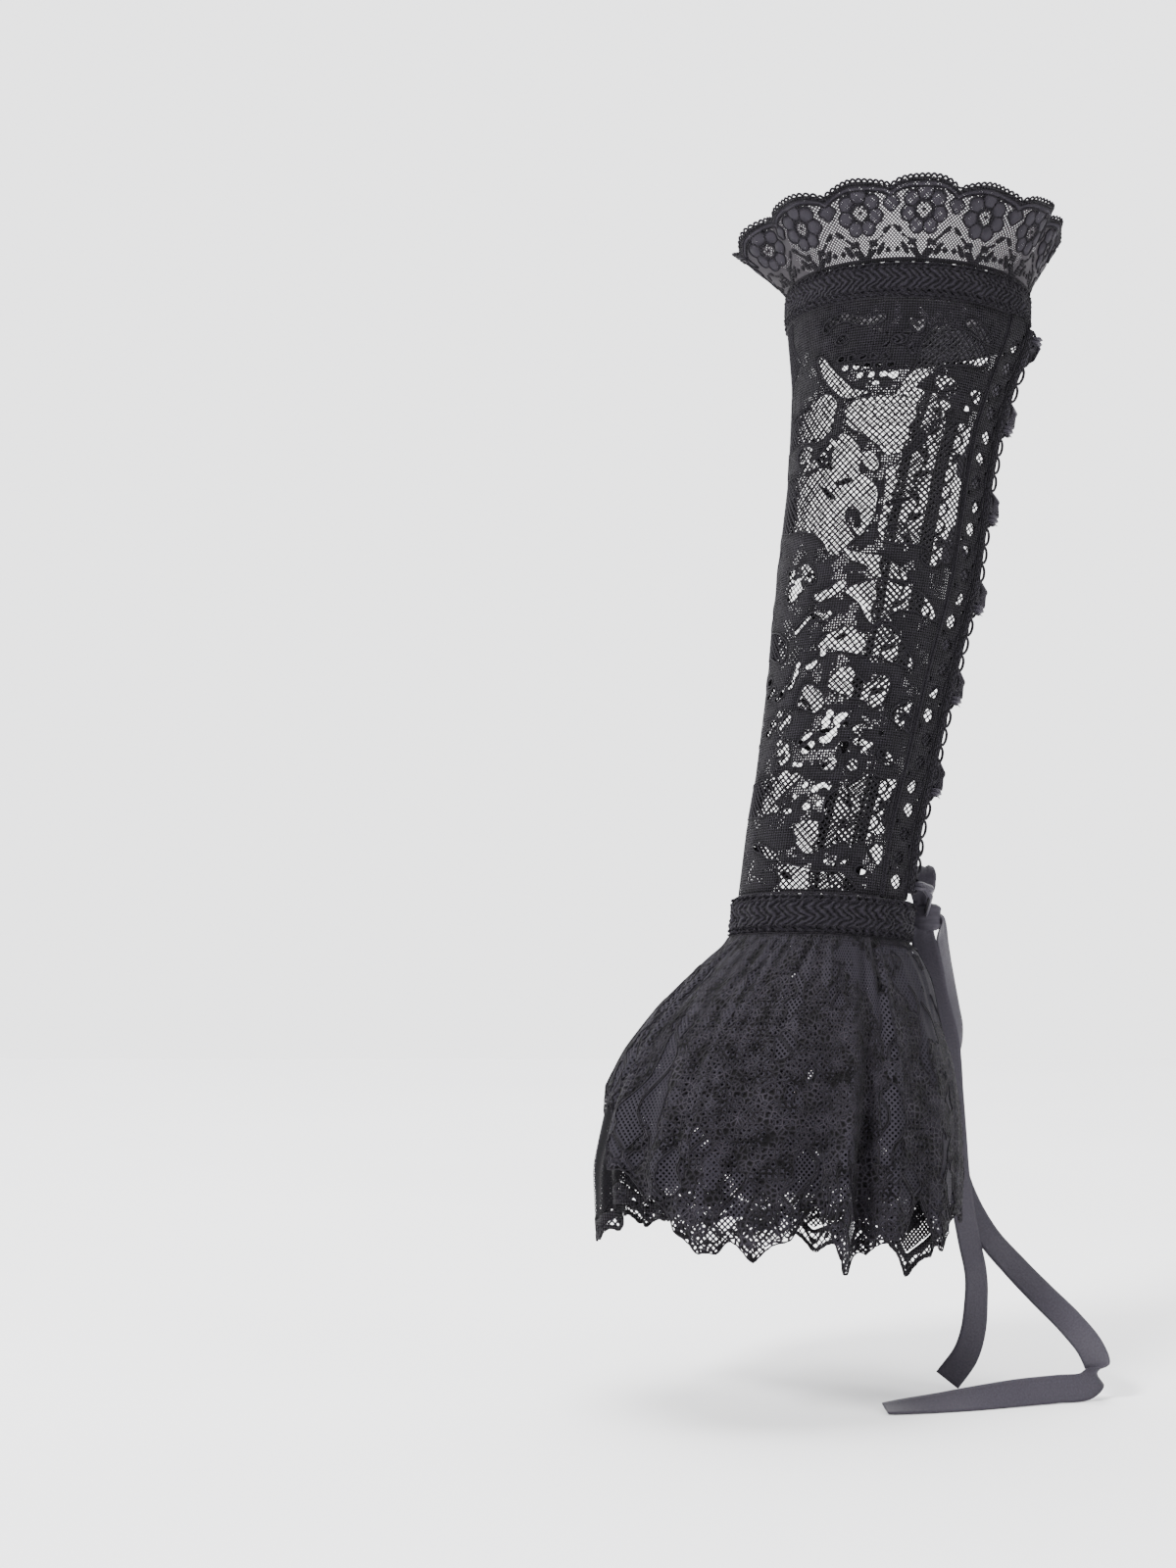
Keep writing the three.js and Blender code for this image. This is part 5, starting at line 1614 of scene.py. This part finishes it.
    def inner(self) -> None:
        """The longer net underneath, with its edging."""
        end = self.edge(480, 3, self.trim_teeth)[0] - self.trim_depth - 0.8
        net = self.net_layer("flounce_inner_net", -0.5, 0.0, end, 26, 0.3, self.wardrobe.inner_net,
                             "flounce_inner")
        chart, place = self.trim_chart(), self.form.layer(-0.5)
        work = self.cloth("hem_clothwork", chart.solid(place, chart.outlines(0.9), 2.4, 0.55),
                          self.wardrobe.close_lace)
        hem, end = self.edge(720, 3, self.trim_teeth)
        tulle = self.net_layer("hem_tulle", -0.5, hem - self.trim_depth, end - 0.8, 7, 0.25,
                               self.wardrobe.hem_net, "hem_trim")

    def build(self) -> None:
        """Makes all layers."""
        self.outer()
        self.inner()


@dataclass
class Ribbon:
    """A length of satin ribbon along stations of place, width direction and width."""

    points: Array
    across: Array
    widths: Array
    wall: float = 0.5
    full: float = 9.5

    @staticmethod
    def through(rows: Array, spacing: float = 1.6) -> "Ribbon":
        """A smooth ribbon through a table of x, y, z, turn, rise and width.

        Args:
            rows: The table, in the room.
            spacing: Between the stations.

        Returns:
            The ribbon.
        """
        knots = rows[:, :3]
        padded = np.concatenate([[2 * knots[0] - knots[1]], knots, [2 * knots[-1] - knots[-2]]])
        length = np.linalg.norm(np.diff(knots, axis=0), axis=1).sum()
        places = np.linspace(0, len(knots) - 1, int(length / spacing) + 2)
        row = np.minimum(places.astype(int), len(knots) - 2)
        share = (places - row)[:, None]
        p = [padded[row + k] for k in range(4)]
        gap = [np.sqrt(np.linalg.norm(p[k + 1] - p[k], axis=1))[:, None] for k in range(3)]
        start, end = (((p[k + 1] - p[k]) / gap[k] - (p[k + 2] - p[k]) / (gap[k] + gap[k + 1])
                       + (p[k + 2] - p[k + 1]) / gap[k + 1]) * gap[1] for k in (0, 1))
        s2, s3 = share**2, share**3
        points = (p[1] * (2 * s3 - 3 * s2 + 1) + p[2] * (3 * s2 - 2 * s3)
                  + start * (s3 - 2 * s2 + share) + end * (s3 - s2))
        turn, rise, width = (np.interp(places, np.arange(len(knots)), rows[:, k]) for k in (3, 4, 5))
        turn, rise = np.radians(turn), np.radians(rise)
        across = np.stack([np.cos(rise) * np.cos(turn), np.cos(rise) * np.sin(turn), np.sin(rise)], -1)
        return Ribbon(points, across, width)

    def patch(self) -> Patch:
        """The ribbon as a thin closed solid, pleated where it is gathered."""
        along = np.gradient(self.points, axis=0)
        along /= np.linalg.norm(along, axis=1)[:, None]
        across = self.across - (self.across * along).sum(1)[:, None] * along
        across /= np.linalg.norm(across, axis=1)[:, None]
        face = np.cross(along, across)
        u = np.linspace(-0.5, 0.5, 9)[None, :]
        squeeze = np.clip(1 - self.widths / self.full, 0, 0.7)[:, None]
        pleat = squeeze * 0.9 * np.cos(2 * np.pi * u * 2) + 0.10 * (1 - (2 * u) ** 2)
        grid = self.points[:, None] + across[:, None] * (u[..., None] * self.widths[:, None, None])
        sides = [(grid + face[:, None] * (pleat + side * self.wall / 2)[..., None]).reshape(-1, 3)
                 for side in (1, -1)]
        length = travelled(self.points)[:, None] / 10
        flat = np.stack(np.broadcast_arrays(u * 0.95, length), -1).reshape(-1, 2)
        return closed_sheet(sides, len(self.points), flat, False)

    def piece(self, part: Part, node: str, declared: tuple[str, str] | None = None,
              rest: Sequence[Thing] = ()) -> Thing:
        made = part.cloth(node + "_satin", self.patch(), part.wardrobe.satin, node, slot=Slot.SATIN)
        if declared:
            path = (self.points / 1000).tolist()
            float(travelled(self.points)[-1]) / 1000
            self.full / 1000
            list(rest)
        return made


@dataclass
class Bow(Part):
    """The knot, its two loops and the two free ends."""

    knot_centre: tuple = (4.2, -18.0, -218.5)
    knot_size: tuple = (12.2, 8.4, 10.4)
    # how far each ribbon runs into the knot
    tucked: float = 2.4
    # x, y, z, turn, rise, width of the stations of each ribbon
    loop_up: ClassVar[Array] = table(
        "2.4,-20,-213,4,0,5.5 2.6,-22.2,-208.2,4,0,9.2 3.4,-21.8,-203.2,0,0,8.6 3.9,-18.6,-200.2,-4,0,5.6 "
        "4.2,-15,-202.8,-4,0,8.6 4.2,-14,-207.6,0,0,8.5 4,-16,-213,0,0,4.5")
    loop_side: ClassVar[Array] = table(
        "8.6,-17.8,-217.6,82,0,4 10,-17,-219.4,74,0,6.5 10.6,-14.4,-225.4,58,0,9 12.5,-12,-236,60,0,9.5 "
        "14.5,-10.8,-249,52,0,9.5 16.3,-10.6,-259,53,0,9.5 15.6,-10.6,-267.5,58,0,9.5 "
        "12.6,-10.6,-272.4,66,0,9.5 9.6,-10.8,-266,70,0,9.5 8,-11.2,-254,72,0,9.5 6.4,-12.2,-238,80,0,8 "
        "5.2,-14.8,-227.5,90,0,4 5,-15.2,-223.9,90,0,3")
    tail_short: ClassVar[Array] = table(
        "3,-20.6,-223.9,0,0,8 3.3,-21.2,-227,0,0,8.8 4.4,-23.4,-234,0,0,9.3 6.6,-25.8,-246,4,0,9.5 "
        "10.5,-28.6,-262.4,14,0,9.5 11.8,-30.6,-279,22,0,9.5 12.9,-32.8,-295,26,0,9.5 "
        "13.9,-34.4,-309.2,28,0,9.5 17.1,-35.4,-329.6,30,0,9.5 19.7,-36.2,-343.1,30,0,9.5 "
        "19.6,-36.8,-353.1,24,0,9.5 18.4,-38,-362.6,16,0,9.5 15.6,-39,-370.6,6,0,9.5 "
        "9,-40.4,-379.2,-6,0,9.5")
    tail_long: ClassVar[Array] = table(
        "4,-18.2,-224.1,0,0,4.5 4.4,-18.4,-227.7,8,0,6 6.6,-19.2,-236,24,0,8.5 8.8,-20.4,-252,34,0,9.5 "
        "10.4,-21.6,-272,40,0,9.5 12.4,-22.8,-294,38,0,9.5 16.6,-24.8,-314,32,0,9.5 "
        "24.2,-28.4,-329.6,24,8,9.5 33.6,-33.6,-340.6,16,16,9.5 42.2,-39.4,-349.4,12,24,9.5 "
        "51,-46,-358,10,34,9.5 57.2,-52,-366,10,48,9.5 58.6,-56.4,-372.4,30,68,9.5 "
        "54.4,-59,-376.8,70,76,9.5 43.8,-61.8,-377.4,80,72,9.5 30.2,-65.6,-377.8,82,58,9.5 "
        "16.3,-69.2,-378.7,82,42,9.5 2.6,-72.4,-379.6,82,27,9.5 -10.9,-74.6,-380.4,82,15,9.5 "
        "-16.6,-75.2,-380.8,82,8,9.5")

    def knot(self) -> Thing:
        """A rounded knot of ribbon wound round on itself, with its creases."""
        rows, columns = 22, 40
        high, turn = (grid.ravel() for grid in np.meshgrid(
            np.linspace(-1, 1, rows), np.linspace(0, 2 * math.pi, columns, endpoint=False), indexing="ij"))
        girth = np.clip(1 - np.abs(high) ** 6, 0.02, 1) ** 0.45
        radius = 0.98 * girth * (1 - 0.07 * np.abs(np.sin(high * 5.2 + 0.9 * np.sin(turn))))
        half = np.array(self.knot_size) / 2
        round_it = np.stack([radius * np.cos(turn), radius * np.sin(turn), high], -1)
        points = self.knot_centre + half * np.concatenate([round_it, [[0, 0, -1], [0, 0, 1]]])
        size = rows * columns
        number = np.arange(size).reshape(rows, columns)
        number = np.concatenate([number, number[:, :1]], 1)
        quads = grid_quads(number)
        caps = [np.stack([number[0, 1:], number[0, :-1], np.full(columns, size)], -1),
                np.stack([number[-1, :-1], number[-1, 1:], np.full(columns, size + 1)], -1)]
        triangles = np.concatenate([quads[:, [0, 1, 2]], quads[:, [0, 2, 3]], *caps])
        uv = np.stack([np.append(turn * 0.05, [0, 0]), np.append(high * 0.5, [0, 0])], -1)
        return self.cloth("bow_knot_satin", Patch(points, triangles, uv), self.wardrobe.satin, "bow_knot",
                          slot=Slot.SATIN)

    def tuck(self, rows: Array, down: float) -> Array:
        """A table of stations with one more before the first, further into the knot."""
        return np.concatenate([rows[:1] + (0, 0, down, 0, 0, 0), rows])

    def build(self) -> None:
        """Makes the knot, loops and free ends."""
        knot = self.knot()
        up = Ribbon.through(self.tuck(self.loop_up, -self.tucked), 1.0).piece(self, "bow_loop_up")
        Ribbon.through(self.loop_side, 1.3).piece(self, "bow_loop_side", ("object", "hanging"))
        for rows, name, rest in ((self.tail_short, "ribbon_tail_short", [knot, up]),
                                 (self.tail_long, "ribbon_tail_long", [])):
            Ribbon.through(self.tuck(rows, self.tucked)).piece(self, name, ("bare", "hanging"), rest)


@dataclass
class Lacing(Part):
    """The ribbon that criss-crosses the gap, in two halves."""

    width: float = 9.5
    gathered: float = 3.1
    pitch: float = 6.6
    loops_per_crossing: int = 5
    crossings: int = 6
    first: float = -12
    turn_centre: float = 3.4
    turn_radius: float = 1.85
    over_cord: float = 1.6
    spread: float = 1.1
    start: float = 5
    knot: tuple = (4.2, -18.0, -218.5)
    knot_reach: float = 4.4
    # longest step between two stations, and the thickness of the ribbon
    spacing: float = 1.3
    wall: float = 0.4

    def over(self, near: bool, distance: float, z: float, out: float, width: float) -> tuple:
        """A station by its distance from the near or the far seam."""
        side = Side.NEAR if near else Side.FAR
        heights = np.array([z, z - 1, z + 1], float)
        seam = FOREARM.seam(side, z)
        angle = FOREARM.step(np.array(z, float), np.array(seam), np.array(side.value * distance))
        places = FOREARM.point(np.full(3, angle), heights, out)
        across = places[1] - places[2]
        return places[0], across / np.linalg.norm(across), width

    def crossing(self, from_near: bool, z: float, drop: float, leave: float, middle: float,
                 arrive: float) -> list[tuple]:
        """The stretch of ribbon that crosses the gap between two loops."""
        stations = []
        for share, out in ((0, leave), (0.12, leave), (0.28, middle), (0.5, middle), (0.72, middle),
                           (0.88, arrive), (1, arrive)):
            width = self.gathered if share in (0, 1) else self.width
            height = z - share * drop
            near, far = FOREARM.seam(Side.NEAR, height), FOREARM.seam(Side.FAR, height)
            span = (far - near) * float(FOREARM.arc_per_degree(np.array(height), np.array((near + far) / 2)))
            first = share <= 0.5
            passed = self.start + (share if first else 1 - share) * (span - 2 * self.start)
            stations.append(self.over(first == from_near, passed, height, out, width))
        return stations

    def turn(self, near: bool, z: float, side: int) -> list[tuple]:
        """The turn of the ribbon through a loop, round its cord."""
        return [self.over(near, self.turn_centre - self.turn_radius * math.cos(arc), z,
                          side * self.turn_radius * math.sin(arc), self.gathered)
                for arc in (math.radians(angle) for angle in (60, 0, -60))]

    def half(self, starts_near: bool) -> Ribbon:
        """One half of the lacing, from the middle of the top bar to the knot."""
        pitch = self.pitch * self.loops_per_crossing
        middle = (FOREARM.seam(Side.NEAR, self.first) + FOREARM.seam(Side.FAR, self.first)) / 2
        bar = self.crossing(not starts_near, self.first, 0, 0, 1, self.over_cord)[4:]
        aside = np.array(-0.2 if starts_near else 0.2)
        angle = FOREARM.step(np.array(self.first, float), np.array(middle), aside)
        start = FOREARM.point(np.array([angle]), np.array([self.first]), 1.0)[0]
        stations = [(start, *bar[0][1:]), *bar, *self.turn(starts_near, self.first, 1)]
        for crossing in range(1, self.crossings + 1):
            z = self.first - crossing * pitch
            near = (crossing % 2 == 0) == starts_near
            over = self.spread if near else -self.spread
            side = -1 if crossing == self.crossings else 1
            stations += self.crossing(not near, z + pitch, pitch, -self.over_cord, over,
                                      side * self.over_cord)
            stations += self.turn(near, z, side)
        for distance, drop, out, width in ((5, 0, 2.4, 3.1), (8, 1.4, 6, 5.1)):
            stations.append(self.over(near, distance, z - drop, out, width))
        place, *last = stations[-1]
        knot = np.array(self.knot)
        towards = (place - knot) / np.linalg.norm(place - knot)
        stations.append((knot + towards * self.knot_reach, *last))
        return self.eased(*(np.array(column) for column in zip(*stations)))

    def eased(self, points: Array, across: Array, widths: Array) -> Ribbon:
        """More stations between the given ones, with their widths eased."""
        length = travelled(points)
        places = [length[0]]
        for a, b in zip(length, length[1:]):
            places += np.linspace(a, b, max(2, int((b - a) / self.spacing) + 1))[1:].tolist()
        places = np.array(places)
        read = lambda values: np.stack([np.interp(places, length, values[:, k]) for k in range(3)], -1)
        row = np.clip(np.searchsorted(length, places, "right") - 1, 0, len(length) - 2)
        share = smoothstep(places, length[row], length[row + 1])
        widths = widths[row] + (widths[row + 1] - widths[row]) * share
        return Ribbon(read(points), read(across), widths, self.wall)

    def build(self) -> None:
        """Makes both halves."""
        for starts_near, name in ((True, "lacing_ribbon_a"), (False, "lacing_ribbon_b")):
            self.half(starts_near).piece(self, name, ("object", "taut"))


# Camera, light and floor


@dataclass
class Studio:
    """The photograph's camera, a pale floor and soft light."""

    camera_at: tuple = (-0.1165, -0.970, -0.1708)
    lens: float = 61.065
    floor: float = -0.3822
    far_edge: float = 1.076
    wall_at: float = 1.6
    near_edge: float = -2.2
    half_width: float = 3.0
    # name, place, size and power of each lamp
    lamps: tuple = (("key", (-1.5, -1.3, 1.5), 0.7, 120), ("fill", (1.6, -1.0, 0.3), 1.0, 25),
                    ("top", (-0.2, 0.3, 2.0), 1.8, 120))

    def camera(self) -> None:
        """A level camera that looks along +Y."""
        data = bpy.data.cameras.new("camera")
        data.sensor_fit = "VERTICAL"
        data.sensor_height = 36
        data.lens = self.lens
        data.clip_start, data.clip_end = 0.05, 20
        camera = place_in_scene("camera", data)
        camera.location = self.camera_at
        camera.rotation_euler = (math.pi / 2, 0, 0)
        bpy.context.scene.camera = camera

    def light(self, name: str, at: tuple, size: float, power: float) -> None:
        """A large soft light that faces the sleeve."""
        data = bpy.data.lights.new(name, "AREA")
        data.shape, data.size, data.energy = "DISK", size, power
        lamp = place_in_scene(name, data)
        lamp.location = at
        lamp.rotation_euler = (Vector((-0.03, 0, -0.17)) - Vector(at)).to_track_quat("-Z", "Y").to_euler()

    def screen(self, name: str, corners: Sequence[tuple], finish: Material) -> None:
        """A flat surface of the stage."""
        at = np.array(corners)
        uv = at[:, [0, 1 if name == "floor" else 2]]
        make_mesh(name, Patch(at * 1000, np.array([[0, 1, 2, 3]]), uv), finish)

    def build(self, floor: Material, wall: Material) -> None:
        """Sets floor, wall, world and lights."""
        wide, near, far, low = self.half_width, self.near_edge, self.far_edge, self.floor
        self.screen("floor", [(-wide, near, low), (wide, near, low), (wide, far, low), (-wide, far, low)],
                    floor)
        corners = ((-wide, -1), (wide, -1), (wide, 3), (-wide, 3))
        self.screen("wall", [(x, self.wall_at, z) for x, z in corners], wall)
        world = bpy.data.worlds.new("pale_room")
        world.use_nodes = True
        sky = world.node_tree.nodes["Background"]
        sky.inputs["Color"].default_value = (0.93, 0.935, 0.95, 1)
        sky.inputs["Strength"].default_value = 0.4
        bpy.context.scene.world = world
        for lamp in self.lamps:
            self.light(*lamp)


def main() -> None:
    """Builds the pieces in order and reports each one."""
    logging.basicConfig(level=logging.INFO, format="%(message)s")
    studio = Studio()
    studio.camera()
    wardrobe = Wardrobe()
    for part in (Bow(wardrobe), Lacing(wardrobe), Bands(wardrobe), SleeveLace(wardrobe),
                 LacingEdges(wardrobe), TopFrill(wardrobe), Flounce(wardrobe)):
        log.info("building %s", type(part).__name__)
        part.build()
    studio.build(wardrobe.floor, wardrobe.wall)


if __name__ == "__main__":
    main()
